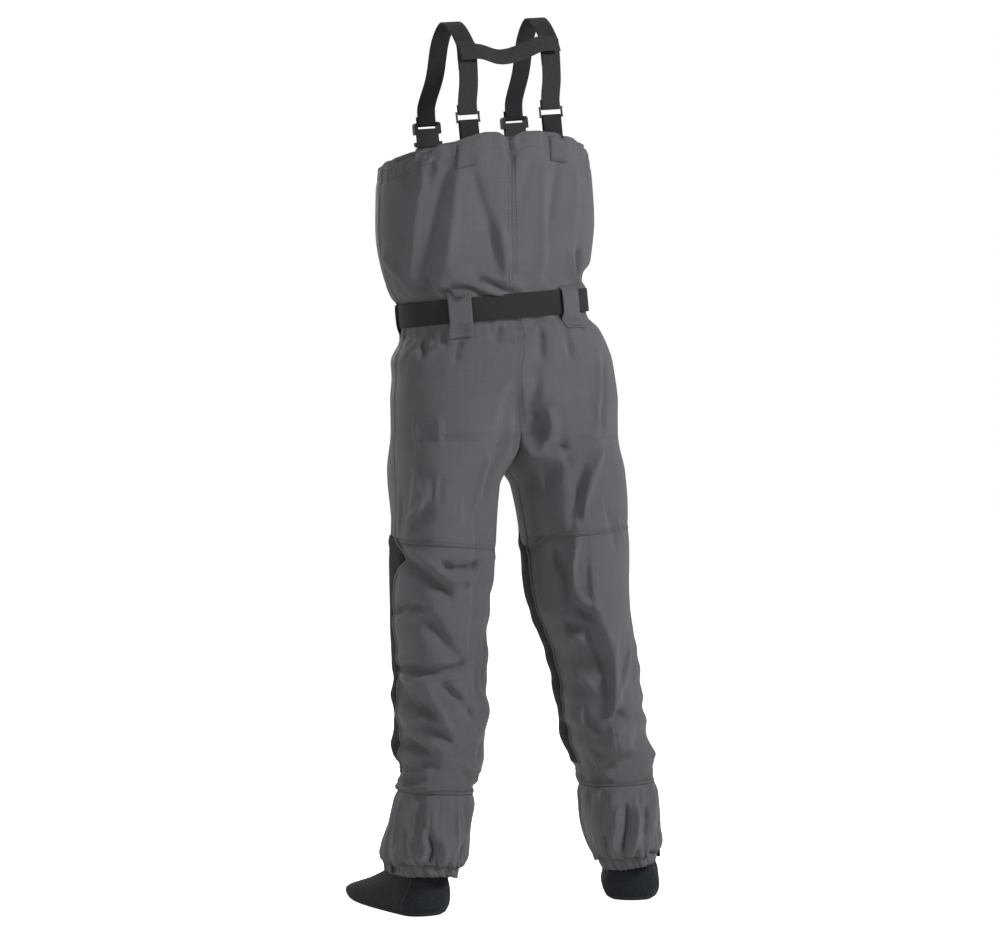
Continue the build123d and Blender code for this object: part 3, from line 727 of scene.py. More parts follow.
class Shell:
    """Bib, seat, legs, gravel guards and stocking feet as grids of rows and columns.

    The torso and the guards have around columns and a foot has foot_columns. The fork's
    seam has inner steps, and it meets a leg fork_bearing degrees past its inner side.
    """

    around = 216
    foot_columns = 92
    inner = 26
    row_step = 7.0
    fork_bearing = 49.0

    def __init__(self):
        self.points = []
        self.places = []
        self.faces = []
        self.fork = []
        self.rows = {}
        self.bearings = {}
        self.heights = {}
        self.make_torso()
        for side in sides:
            self.make_leg(side)
            self.make_guard(side)
            self.make_foot(side)
        self.base = [point.copy() for point in self.points]
        self.outward = self.normals()

    def add(self, point, part, bearing, height):
        self.points.append(Vector(point))
        self.places.append((part, bearing, height))
        return len(self.points) - 1

    def join(self, upper, lower):
        count = len(upper)
        for i in range(count):
            j = (i + 1) % count
            self.faces.append((lower[i], lower[j], upper[j], upper[i]))

    def make_torso(self):
        coarse = even(fork_top, hem_height - 30, self.row_step)
        self.heights["torso"] = coarse + even(hem_height - 30, hem_height, 4)[1:]
        self.bearings["torso"] = [360 * i / self.around for i in range(self.around)]
        rows = []
        for height in self.heights["torso"]:
            row = []
            for bearing in self.bearings["torso"]:
                point = torso.point(bearing + seat_skew(bearing, height), height)
                low = smooth((910 - height) / 100)
                for centre in (0, 180, 360):
                    point.y *= 1 - 0.32 * low * bump_at(bearing - centre, 15)
                row.append(self.add(point, "torso", bearing, height))
            rows.append(row)
        self.rows["torso"] = rows
        for lower, upper in zip(rows, rows[1:]):
            self.join(upper, lower)
        self.make_fork(rows[0])

    def make_fork(self, ring):
        """The seam between the legs, from the front centre back to the rear centre."""
        front = self.points[ring[0]]
        back = self.points[ring[self.around // 2]]
        for i in range(1, self.inner):
            share = i / self.inner
            point = front.lerp(back, share)
            point.z -= fork_drop * math.sin(math.pi * share) ** 0.7
            self.fork.append(self.add(point, "fork", 0, fork_top))

    def make_leg(self, side):
        ring = self.rows["torso"][0]
        half = self.around // 2
        sweep = 180 + 2 * self.fork_bearing
        if side == "left":
            top = ring[:half + 1] + self.fork[::-1]
            start = -self.fork_bearing
        else:
            top = ring[half:] + [ring[0]] + self.fork
            start = 180 - self.fork_bearing
        outer = [start + sweep * i / half for i in range(half + 1)]
        inner = [start + sweep + (360 - sweep) * i / self.inner for i in range(1, self.inner)]
        self.bearings[side] = outer + inner
        self.heights[side] = even(fork_top, guard_seam, self.row_step)
        count = len(self.heights[side]) - 1
        rows = [top]
        for i in range(1, count + 1):
            share = i / count
            settled = smooth(share / 0.11)
            row = []
            for first, bearing in zip(top, self.bearings[side]):
                origin = self.points[first]
                height = origin.z + (guard_seam - origin.z) * share
                target = outlines[side].point(bearing, height)
                mixed = origin.lerp(target, settled)
                mixed.z = height + (target.z - height) * settled
                row.append(self.add(mixed, side, bearing, height))
            rows.append(row)
        self.rows[side] = rows
        for upper, lower in zip(rows, rows[1:]):
            self.join(upper, lower)

    def make_tube(self, part, heights, columns, skew=lambda bearing, height: 0.0):
        """A grid of level rings from the top down. Skew turns its columns away from plumb."""
        self.heights[part] = heights
        self.bearings[part] = [360 * i / columns for i in range(columns)]
        self.rows[part] = []
        for height in heights:
            row = []
            for bearing in self.bearings[part]:
                point = outlines[part].point(bearing + skew(bearing, height), height)
                row.append(self.add(point, part, bearing, height))
            self.rows[part].append(row)
        for upper, lower in zip(self.rows[part], self.rows[part][1:]):
            self.join(upper, lower)

    def make_guard(self, side):
        fine = guard_hem + 28
        heights = even(guard_seam, fine, 6) + even(fine, guard_hem, 3)[1:]
        self.make_tube("guard_" + side, heights, self.around)

    def make_foot(self, side):
        part = "foot_" + side
        heights = even(guard_seam - 1, 12, 6) + [8, foot_sole, 2.5, 0]
        self.make_tube(part, heights, self.foot_columns, heel_skew)
        ring = self.rows[part][-1]
        middle = foot_frame[side] @ Vector((0, -90, 0))
        for share in (0.8, 0.5, 0.2):
            row = []
            for first in self.rows[part][-1]:
                point = middle.lerp(self.points[first], share)
                row.append(self.add(point, part, self.places[first][1], -1.0))
            self.join(ring, row)
            ring = row
        self.faces.append(tuple(ring[::-1]))

    def normals(self):
        """Outward unit normals from the grid's four-sided faces."""
        sums = [Vector() for _ in self.points]
        for face in self.faces:
            if len(face) != 4:
                continue
            a, b, c, d = (self.points[i] for i in face)
            across = (c - a).cross(d - b)
            for i in face:
                sums[i] += across
        return [v.normalized() for v in sums]

    def crease(self):
        """Lays folds, gathers and slack on the plain outline, less where a seam holds it."""
        for i, (part, bearing, height) in enumerate(self.places):
            if part == "fork" or height < 0:
                continue
            outline = outlines[part]
            offset = drape(part, bearing, height, outline.arc(height), self.base[i])
            if part == "torso":
                fade = smooth((abs(height - belt_height) - 16) / 16)
                fade *= 1 - 0.9 * at_pocket(bearing, height)
            elif part.startswith("guard"):
                fade = smooth((guard_seam - height) / 12)
            elif part.startswith("foot"):
                fade = 1.0
            else:
                fade = smooth((height - guard_seam) / 18)
            self.points[i] = self.base[i] + self.outward[i] * offset * fade
            if part == "torso":
                self.points[i].z += hem_lift(bearing, height)

    def sharpen(self, gain):
        """Presses the creases in again after the cloth has settled."""
        for i, (part, bearing, height) in enumerate(self.places):
            if not part.startswith("foot") and part != "fork":
                arc = outlines[part].arc(height)
                held = at_pocket(bearing, height) if part == "torso" else 0.0
                crease = fold_height(part, bearing, height, arc, 0.6) * gain * (1 - held)
                self.points[i] = self.points[i] + self.outward[i] * crease

    def give(self, index):
        """How far out of its outline the cloth may swell at a point."""
        part, bearing, height = self.places[index]
        if part == "torso" and height > belt_height:
            return 2.5
        if part.startswith("guard"):
            return 2.0
        if part in sides and math.cos(math.radians(bearing - 90 * sides[part])) < -0.2:
            return 1.5
        return 8.0 if part == "torso" else 6.0

    def pinned(self, index):
        """How firmly the cloth is held while it settles."""
        part, bearing, height = self.places[index]
        if part == "torso":
            if abs(height - belt_height) < belt_half:
                return 1.0
            return max(0.9 * at_pocket(bearing, height), 0.8 if height > hem_height - 8 else 0.0)
        if part.startswith("guard"):
            elastic_top = guard_hem + elastic_channel
            return 1.0 if height > guard_seam - 3 or height < elastic_top - 3 else 0.0
        return 1.0 if part in sides and height < guard_seam + 3 else 0.0

    def spot(self, part, bearing, height, out=0.0):
        """The finished cloth at a bearing and height, moved out mm along its normal."""
        rows, heights, bearings = self.rows[part], self.heights[part], self.bearings[part]
        rising = heights[-1] > heights[0]
        ordered = heights if rising else heights[::-1]
        low = min(max(bisect_right(ordered, height) - 1, 0), len(heights) - 2)
        row_share = (height - ordered[low]) / (ordered[low + 1] - ordered[low])
        lower, upper = (low, low + 1)
        if not rising:
            lower, upper = len(heights) - 1 - low, len(heights) - 2 - low
        turn = (bearing - bearings[0]) % 360
        offsets = [b - bearings[0] for b in bearings] + [360]
        column = min(bisect_right(offsets, turn) - 1, len(bearings) - 1)
        after = (column + 1) % len(bearings)
        share = (turn - offsets[column]) / (offsets[column + 1] - offsets[column])
        corners = (rows[lower][column], rows[lower][after],
                   rows[upper][column], rows[upper][after])
        weights = ((1 - row_share) * (1 - share), (1 - row_share) * share,
                   row_share * (1 - share), row_share * share)
        point, normal = Vector(), Vector()
        for index, weight in zip(corners, weights):
            point += self.points[index] * weight
            normal += self.outward[index] * weight
        return point + normal.normalized() * out


# ------------------------------------------------------------------ mesh helpers

def make_object(name, points, faces, materials, uv=None):
    """A smooth-shaded mesh from millimetre points in the wearer's frame."""
    mesh = bpy.data.meshes.new(name)
    mesh.from_pydata([metres(p) for p in points], [], faces)
    mesh.update()
    if uv is not None:
        layer = mesh.uv_layers.new(name="UVMap")
        for loop in mesh.loops:
            layer.data[loop.index].uv = uv[loop.vertex_index]
    for entry in materials:
        mesh.materials.append(entry)
    mesh.polygons.foreach_set("use_smooth", [True] * len(mesh.polygons))
    obj = bpy.data.objects.new(name, mesh)
    bpy.context.collection.objects.link(obj)
    return obj


def dress(obj, body, slot, *nodes):
    """Hangs a piece on the body it rides on and hides the CAD nodes it stands for. Slot is not
    used.
    """
    if nodes:
        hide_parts(*nodes)
    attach(obj, body)
    return obj


def thicken(obj, thickness, finer=1):
    """Gives a sheet its thickness in mm, inwards, after finer rounds of subdivision."""
    if finer:
        rounds = obj.modifiers.new("finer", "SUBSURF")
        rounds.levels = finer
        rounds.render_levels = finer
    ply = obj.modifiers.new("ply", "SOLIDIFY")
    ply.thickness = thickness / 1000
    ply.offset = -1
    if len(obj.data.materials) > 1:
        ply.material_offset = 1


def along(points, spacing=4.0):
    """A smooth curve through the points, as evenly spaced points."""
    points = [Vector(p) for p in points]
    dense = []
    last = len(points) - 1
    for i in range(last):
        before, low, high, after = (points[min(max(i + step, 0), last)] for step in (-1, 0, 1, 2))
        gap = (high - low).length
        leaving = (high - before) / max(1e-6, (high - low).length + (low - before).length) * gap
        arriving = (after - low) / max(1e-6, (after - high).length + (high - low).length) * gap
        count = max(2, int(gap / 1.5))
        for step in range(count):
            t = step / count
            square, cube = t * t, t ** 3
            dense.append(low * (2 * cube - 3 * square + 1) + high * (3 * square - 2 * cube)
                         + leaving * (cube - 2 * square + t) + arriving * (cube - square))
    dense.append(points[-1])
    runs = [0.0]
    for a, b in zip(dense, dense[1:]):
        runs.append(runs[-1] + (b - a).length)
    count = max(2, round(runs[-1] / spacing))
    spaced, spot = [], 0
    for i in range(count + 1):
        run = runs[-1] * i / count
        while spot < len(dense) - 2 and runs[spot + 1] < run:
            spot += 1
        share = (run - runs[spot]) / max(1e-9, runs[spot + 1] - runs[spot])
        spaced.append(dense[spot].lerp(dense[spot + 1], min(1.0, share)))
    return spaced


# Where a band's cross-section has points, as shares of its half width. The other face
# has the same ones turned about, so both edges are covered.
band_steps = (-1, -0.975, -0.93, -0.7, -0.35, 0, 0.35, 0.7, 0.93, 0.975)
selvedge = 0.25


def band_mesh(line, across, width, thickness, spacing=4.0):
    """Flat webbing along a line, with rounded selvedges. UV runs along it in metres."""
    line = along(line, spacing)
    across = Vector(across).normalized()
    points, uv, faces = [], [], []
    run = 0.0
    for i, middle in enumerate(line):
        ahead = line[min(i + 1, len(line) - 1)] - line[max(i - 1, 0)]
        side = (across - ahead * across.dot(ahead) / ahead.length_squared).normalized()
        out = ahead.cross(side).normalized()
        run += (middle - line[i - 1]).length if i else 0.0
        for face in (1, -1):
            for step in band_steps:
                rounding = math.sqrt(max(0.0, 1 - max(0.0, (abs(step) - 0.9) / 0.1) ** 2))
                lift = out * (face * thickness / 2 * (selvedge + (1 - selvedge) * rounding))
                points.append(middle + side * (face * step * width / 2) + lift)
                uv.append((face * step * width / 2000, run / 1000))
    ring = 2 * len(band_steps)
    for i in range(len(line) - 1):
        for j in range(ring):
            k = (j + 1) % ring
            faces.append((i * ring + j, i * ring + k, (i + 1) * ring + k, (i + 1) * ring + j))
    faces.append(tuple(range(ring))[::-1])
    faces.append(tuple(range(len(points) - ring, len(points))))
    return points, faces, uv


def merge(meshes):
    """Several (points, faces, uv) meshes as one."""
    points, faces, uv = [], [], []
    for more_points, more_faces, more_uv in meshes:
        start = len(points)
        points += more_points
        faces += [tuple(i + start for i in face) for face in more_faces]
        uv += more_uv
    return points, faces, uv


def moved(place, points):
    return [place @ Vector(p) for p in points]


def round_bar(y, z, radius, leg, start=180, end=0):
    """Webbing's line up one side of a bar at (y, z), over it and down the other side."""
    line = [(0, y + math.cos(math.radians(start)) * radius, z - leg)]
    for i in range(9):
        angle = math.radians(start + (end - start) * i / 8)
        line.append((0, y + math.cos(angle) * radius, z + math.sin(angle) * radius))
    line.append((0, y + math.cos(math.radians(end)) * radius, z - leg))
    return line


# ------------------------------------------------------------------ settling the cloth

def eased(drift, outward, inward_cap, outward_cap, slide_cap):
    """A movement with its parts along and across the cloth's normal capped."""
    away = drift.dot(outward)
    slide = drift - outward * away
    if slide.length > slide_cap:
        slide *= slide_cap / slide.length
    return slide + outward * max(-inward_cap, min(outward_cap, away))


def settle(shell, frames, pressure, growth):
    """One cloth simulation of the shell and guards, held at the belt, hem and seams."""
    faces = [face for face in shell.faces
             if not any(shell.places[i][0].startswith("foot") for i in face)]
    used = sorted({i for face in faces for i in face})
    index = {old: new for new, old in enumerate(used)}
    obj = make_object("settling_cloth", [shell.points[i] for i in used],
                      [tuple(index[i] for i in face) for face in faces], [])
    group = obj.vertex_groups.new(name="held")
    for i in used:
        weight = shell.pinned(i)
        if weight > 0:
            group.add([index[i]], weight, "REPLACE")
    cloth = obj.modifiers.new("cloth", "CLOTH")
    rules = cloth.settings
    rules.quality = 5
    rules.mass = 0.25
    rules.tension_stiffness = 12
    rules.compression_stiffness = 12
    rules.shear_stiffness = 4
    rules.bending_stiffness = 0.12
    rules.tension_damping = 6
    rules.compression_damping = 6
    rules.air_damping = 2
    rules.vertex_group_mass = "held"
    rules.shrink_min = -growth
    rules.use_pressure = True
    rules.uniform_pressure_force = pressure
    rules.effector_weights.gravity = 0.15
    cloth.collision_settings.use_collision = False
    cloth.point_cache.frame_start = 1
    cloth.point_cache.frame_end = frames
    scene = bpy.context.scene
    for step in range(1, frames + 1):
        scene.frame_set(step)
    shape = obj.evaluated_get(bpy.context.evaluated_depsgraph_get()).to_mesh()
    for i in used:
        drift = Vector(shape.vertices[index[i]].co) * 1000 - base_shift - shell.points[i]
        shell.points[i] = shell.points[i] + eased(drift, shell.outward[i], inward_cap=5,
                                                  outward_cap=shell.give(i), slide_cap=7)
    scene.frame_set(1)
    bpy.data.objects.remove(obj)


def limit(shell, reach):
    """Keeps the cloth within reach of its outline."""
    for i, base in enumerate(shell.base):
        away = shell.points[i] - base
        if away.length > reach:
            shell.points[i] = base + away * (reach / away.length)


# ------------------------------------------------------------------ cut pieces of the shell

def middle_place(shell, face):
    """Part, bearing and height of a face's middle. A leg's name wins over the torso's."""
    places = [shell.places[i] for i in face]
    own = [place for place in places if place[0] not in ("torso", "fork")] or places
    bearings = [place[1] % 360 for place in own if place[0] != "fork"]
    if max(bearings) - min(bearings) > 180:
        bearings = [b + 360 if b < 180 else b for b in bearings]
    height = sum(place[2] for place in own) / len(own)
    return own[0][0], sum(bearings) / len(bearings) % 360, height


def piece_of(part, bearing, height):
    """Which cut piece a place belongs to."""
    front = bearing < 90 or bearing > 270
    if part == "torso" and height > belt_height:
        return "bib_front" if front else "bib_back_" + ("left" if bearing < 180 else "right")
    if part == "torso":
        return ("lap_" if front else "seat_") + ("left" if bearing < 180 else "right")
    if part in sides and height > knee_seam[part]:
        return ("lap_" if front else "seat_") + part
    if part in sides:
        return ("shin_front_" if front else "calf_back_") + part
    if part.startswith("guard"):
        return "gravel_" + part
    side = part.split("_")[1]
    if height < foot_sole:
        return "bootie_sole_" + side
    return ("bootie_heel_" if 128 < bearing < 232 else "bootie_upper_") + side


# A lap or seat piece runs down to the knee seam, so it replaces the thigh panel too.
also_stands_for = {"lap": "thigh_front", "seat": "thigh_back"}


def make_pieces(shell, looks):
    """Cuts the shell along its seams. Panels on both sides of a cut have the same edge."""
    groups = {}
    for face in shell.faces:
        if len(face) == 4:
            groups.setdefault(piece_of(*middle_place(shell, face)), []).append(face)
        else:
            groups["bootie_sole_" + shell.places[face[0]][0].split("_")[1]].append(face)
    for name, faces in groups.items():
        used = sorted({i for face in faces for i in face})
        index = {old: new for new, old in enumerate(used)}
        uv = []
        for i in used:
            part, bearing, height = shell.places[i]
            outline = outlines.get(part, torso)
            arc = outline.arc(outline.heights[len(outline.heights) // 2])
            uv.append((bearing * arc / 1000, height / 1000))
        kind, _, side = name.rpartition("_")
        rubber = name.startswith("bootie")
        outside = "heel" if "heel" in name else "neoprene" if rubber else "shell"
        inside = "neoprene" if rubber else "lining"
        obj = make_object(name + "_cloth", [shell.points[i] for i in used],
                          [tuple(index[i] for i in face) for face in faces],
                          [looks[outside], looks[inside]], uv)
        thicken(obj, 4.0 if rubber else 1.2)
        nodes = [name]
        if kind in also_stands_for:
            nodes.append(f"{also_stands_for[kind]}_{side}")
        dress(obj, "garment", "neoprene" if rubber else "shell_fabric", *nodes)


# ------------------------------------------------------------------ sheets that follow the cloth

def grid_mesh(rows, closed=False):
    """Rows of points as a grid of faces whose normals follow rising bearings and heights."""
    points = [point for row in rows for point in row]
    count = len(rows[0])
    faces, uv = [], []
    for i in range(len(rows) - 1):
        for j in range(count if closed else count - 1):
            k = (j + 1) % count
            faces.append((i * count + j, i * count + k, (i + 1) * count + k, (i + 1) * count + j))
    climb = 0.0
    for i, row in enumerate(rows):
        if i:
            climb += (row[count // 2] - rows[i - 1][count // 2]).length
        run = 0.0
        for j, point in enumerate(row):
            if j:
                run += (point - row[j - 1]).length
            uv.append((run / 1000, climb / 1000))
    return points, faces, uv


def patch_mesh(shell, part, bearings, heights, out, closed=False):
    """A sheet over the cloth: out(bearing share, height share) says how far off it lies."""
    rows = []
    for i, height in enumerate(heights):
        row = []
        for j, bearing in enumerate(bearings):
            shares = (j / max(1, len(bearings) - 1), i / max(1, len(heights) - 1))
            row.append(shell.spot(part, bearing, height, out(*shares)))
        rows.append(row)
    return grid_mesh(rows, closed)


def behind_cloth(across, up):
    """Where elastic and tape lie: just inside the shell's cloth."""
    return -2.0


def full_turn(count):
    return [360 * i / count for i in range(count)]


thread_half = 0.42


def seam_mesh(shell, part, line, width=5.0, out=0.7):
    """A raised seam along (bearing, height) points."""
    arc = outlines[part].arc(sum(height for _, height in line) / len(line))
    flat = along([(bearing * arc, height, 0) for bearing, height in line], 5.0)
    rows = []
    for share, lift in ((-0.5, -0.8), (-0.3, out), (0, out * 1.15), (0.3, out), (0.5, -0.8)):
        row = []
        for i, place in enumerate(flat):
            ahead = flat[min(i + 1, len(flat) - 1)] - flat[max(i - 1, 0)]
            beside = Vector((-ahead.y, ahead.x, 0)).normalized() * (width * share)
            spot = place + beside
            row.append(shell.spot(part, spot.x / arc, spot.y, lift))
        rows.append(row)
    return grid_mesh(rows)


def stitch_mesh(shell, part, line, out=0.55, pitch=4.4, length=3.1):
    """A row of thread dashes along (bearing, height) points."""
    arc = outlines[part].arc(sum(height for _, height in line) / len(line))
    flat = along([(bearing * arc, height, 0) for bearing, height in line], pitch)
    points, faces, uv = [], [], []
    for place, after in zip(flat, flat[1:]):
        ahead = (after - place).normalized()
        beside = Vector((-ahead.y, ahead.x, 0)) * thread_half
        start = len(points)
        for run, rise in ((0, -0.3), (length * 0.5, out), (length, -0.3)):
            for side in (-1, 0, 1):
                spot = place + ahead * run + beside * side
                lift = rise if side == 0 else rise - 0.35
                points.append(shell.spot(part, spot.x / arc, spot.y, lift))
                uv.append((side * 0.0004, run / 1000))
        for i in (0, 3):
            for j in (0, 1):
                corner = start + i + j
                faces.append((corner, corner + 1, corner + 4, corner + 3))
    return points, faces, uv


def level_line(height, start=-180, end=180, step=6):
    return [(bearing, height) for bearing in even(start, end, step)]


def rolled_rows(shell, part, turn, levels):
    """Rows round an edge. A level is its height, how far out it lies and its lift."""
    rows = []
    for height, out, lift in levels:
        row = [shell.spot(part, bearing, height, out) for bearing in turn]
        for point in row:
            point.z += lift
        rows.append(row)
    return rows


def add_sheet(name, mesh, materials, thickness, slot, nodes, finer=0):
    """A sheet on the garment, thickened inwards."""
    points, faces, uv = mesh
    obj = make_object(name, points, faces, materials, uv)
    thicken(obj, thickness, finer)
    dress(obj, "garment", slot, *nodes)


def add_trim(name, meshes, material, slot, body="garment", nodes=()):
    """Meshes as one piece that isn't declared as a sheet."""
    points, faces, uv = merge(meshes)
    dress(make_object(name, points, faces, [material], uv), body, slot, *nodes)


# ------------------------------------------------------------------ hem, seams and tapes

def make_hem(shell, looks):
    """The bib's top edge is folded inwards over a flat elastic and stitched down."""
    turn = full_turn(240)
    edge = hem_height - 0.5
    levels = [(edge, 0.15, 0), (edge, -0.6, 2.0), (edge, -2.2, 2.6), (edge, -3.6, 1.6)]
    levels += [(height, -4.2, 0) for height in even(hem_height - 3, hem_height - 25, 4)]
    rows = rolled_rows(shell, "torso", turn, levels)
    add_sheet("hem_facing_cloth", grid_mesh(rows, True), [looks["shell"], looks["shell"]], 0.8,
              "shell_fabric", ["hem_facing"])
    heights = even(hem_height - 18, hem_height - 6, 4)
    mesh = patch_mesh(shell, "torso", turn, heights, behind_cloth, True)
    add_trim("hem_elastic_band", [mesh], looks["elastic"], "elastic_webbing", nodes=["hem_elastic"])


def make_seams(shell, looks):
    up_torso = even(fork_top + 4, hem_height - 2, 12)
    up_leg = even(guard_seam + 4, fork_top - 40, 12)
    # Here and on the legs the welts take the darker seam cloth, which paints shade along each seam.
    seams = [seam_mesh(shell, "torso", [(180, h) for h in up_torso], 3.4, 0.3)]
    threads = [stitch_mesh(shell, "torso", level_line(hem_stitch))]
    for bearing in (90, 270):
        seams.append(seam_mesh(shell, "torso", [(bearing, h) for h in up_torso]))
    for offset in (-1.5, 1.5):
        centre = [(180 + offset, h) for h in even(fork_top + 6, hem_height - 24, 12)]
        threads.append(stitch_mesh(shell, "torso", centre, 0.4))
    add_trim("body_seams", seams, looks["seam"], "shell_fabric")
    add_trim("body_stitching", threads, looks["thread"], "shell_fabric")
    for side in sides:
        seams = [seam_mesh(shell, side, [(bearing, h) for h in up_leg]) for bearing in (90, 270)]
        seams.append(seam_mesh(shell, side, level_line(knee_seam[side]), 5.5, 0.8))
        seams.append(seam_mesh(shell, side, level_line(guard_seam + 2.5), 6, 1.0))
        threads = [stitch_mesh(shell, side, level_line(height))
                   for height in (knee_seam[side] + 5, guard_stitch, guard_seam + 7.5)]
        add_trim(f"leg_seams_{side}", seams, looks["seam"], "shell_fabric")
        add_trim(f"leg_stitching_{side}", threads, looks["thread"], "shell_fabric")


def make_tapes(shell, looks):
    """Heat-sealed tape covers the long seams on the inside."""
    heights = even(fork_top + 8, hem_height - 32, 9)

    def tape(bearing, half):
        bearings = even(bearing - half, bearing + half, 2)
        return patch_mesh(shell, "torso", bearings, heights, behind_cloth)

    add_trim("back_seam_tape_film", [tape(180, 5)], looks["tape"], "seam_tape",
             nodes=["back_seam_tape"])
    add_trim("side_seam_tape_film", [tape(90, 4), tape(270, 4)], looks["tape"], "seam_tape",
             nodes=["side_seam_tapes"])


gusset_depth = 2.2


def make_gusset(shell, looks):
    """A lens-shaped piece inside the fork, from the front centre to the rear centre."""
    half = shell.around // 2
    rows = []
    for side, levels in (("right", (3, 2, 1)), ("left", (0, 1, 2, 3))):
        for level in levels:
            row = []
            for i in range(shell.inner - 1):
                column = half + 1 + (i if side == "right" else shell.inner - 2 - i)
                index = shell.rows[side][level][column]
                row.append(shell.points[index] - shell.outward[index] * gusset_depth)
            rows.append(row)
    add_sheet("crotch_gusset_cloth", grid_mesh(rows), [looks["shell"]], 1.0, "shell_fabric",
              ["crotch_gusset"])


# ------------------------------------------------------------------ legs' outer plies

inner_edge = 92


def guard_edge(side, height):
    """How far round the leg its knee and shin ply reaches on the outer side, in degrees."""
    if side == "left":
        return inner_edge + 20 * bump_at(height - 600, 24) + 6 * bump_at(height - 310, 25)
    return inner_edge + 14 * bump_at(height - 450, 25)


def make_shin_guard(shell, side, looks):
    """The tough ply over the knee and shin, piped at its two edges."""
    sign = sides[side]
    bottom, top = guard_seam + 42, knee_seam[side] + 22
    heights = even(bottom, top, 4)
    rows = []
    for height in heights:
        row = []
        over_seam = 2.2 * bump_at(height - knee_seam[side], 8)
        for share in even(-1, 1, 1 / 24):
            reach = guard_edge(side, height) if share * sign > 0 else inner_edge
            narrow = 1 - 0.9 * smooth((height - top + 26) / 26) ** 3
            out = over_seam + (1.3 if abs(share) < 1 else 0.9)
            row.append(shell.spot(side, share * reach * narrow, height, out))
        rows.append(row)
    add_sheet(f"knee_shin_guard_{side}_cloth", grid_mesh(rows), [looks["tough"]], 0.9,
              "reinforced_fabric", [f"knee_shin_guard_{side}"])
    pipes = []
    for edge in (0, -1):
        line = [row[edge] for row in rows[:-4]]
        pipes.append(band_mesh(line, (0, 1, 0), 2.4, 2.0, 5))
    add_trim(f"knee_shin_piping_{side}", pipes, looks["piping"], "shell_fabric")
    threads = []
    for share in (-1, 1):
        line = []
        for height in even(bottom + 4, top - 30, 12):
            reach = guard_edge(side, height) if share * sign > 0 else inner_edge
            line.append((share * (reach - 3.4), height))
        threads.append(stitch_mesh(shell, side, line, 1.9))
    add_trim(f"knee_shin_stitching_{side}", threads, looks["thread"], "reinforced_fabric")


def make_guard_trim(shell, side, looks):
    """The elastic in the gravel guard's hem, the rolled hem over it and its stitching."""
    part = "guard_" + side
    turn = full_turn(168)
    heights = even(guard_hem + 1, guard_hem + elastic_channel - 3, 3)
    mesh = patch_mesh(shell, part, turn, heights, behind_cloth, True)
    add_trim(f"guard_elastic_{side}_band", [mesh], looks["elastic"], "elastic_webbing",
             nodes=[f"guard_elastic_{side}"])
    levels = [(guard_hem, 0.2, 0), (guard_hem, -0.5, -1.4), (guard_hem, -2.0, -1.8),
              (guard_hem, -3.2, -0.8), (guard_hem + 6, -3.4, 0)]
    roll = grid_mesh(rolled_rows(shell, part, turn, levels)[::-1], True)
    add_trim(f"guard_hem_roll_{side}", [roll], looks["shell"], "shell_fabric")
    threads = [stitch_mesh(shell, part, level_line(guard_hem + elastic_channel), 0.6)]
    add_trim(f"guard_stitching_{side}", threads, looks["thread"], "shell_fabric")


def make_foot_seams(shell, side, looks):
    """Blind-stitched neoprene seams: heel panel and sole edge."""
    part = "foot_" + side
    threads = []
    for bearing in (128, 232):
        line = [(bearing, h) for h in even(foot_sole + 1, 150, 8)]
        threads.append(seam_mesh(shell, part, line, 2.6, 0.5))
        threads.append(stitch_mesh(shell, part, line, 1.0, 3.4, 2.4))
    threads.append(seam_mesh(shell, part, level_line(foot_sole + 1.5), 2.6, 0.5))
    add_trim(f"bootie_seams_{side}", threads, looks["foot_thread"], "neoprene")


# ------------------------------------------------------------------ shoulder harness

rear_strap_side = 76.0
rear_ring_depth = 95.0
front_strap_side = {"left": 65.0, "right": -98.0}
front_strap_depth = {"left": -113.0, "right": -107.0}
# Over the shoulder, in chest_frame: the share of the way in x from the rear ring to the
# front buckle, then depth towards the back and height.
shoulder_line = [
    (0.0, 95.0, 60.0), (0.0, 93.0, 100.0), (0.12, 80.0, 133.0), (0.5, 4.0, 176.0),
    (0.75, -46.0, 152.0), (0.93, -78.0, 92.0),
]
strap_width = 34.0
cross_width = 29.0
cross_height = 112.0
webbing = 1.8
ring_bar_gap = 14.6
ring_fold = 3.1
socket_bar = 16.5
bar_fold = 3.3
plug_bar = -36.5


def shift(line, x):
    return [(x + p[0], p[1], p[2]) for p in line]


def upside_down(line, height):
    """A line turned over about a height."""
    return [(p[0], p[1], 2 * height - p[2]) for p in line]


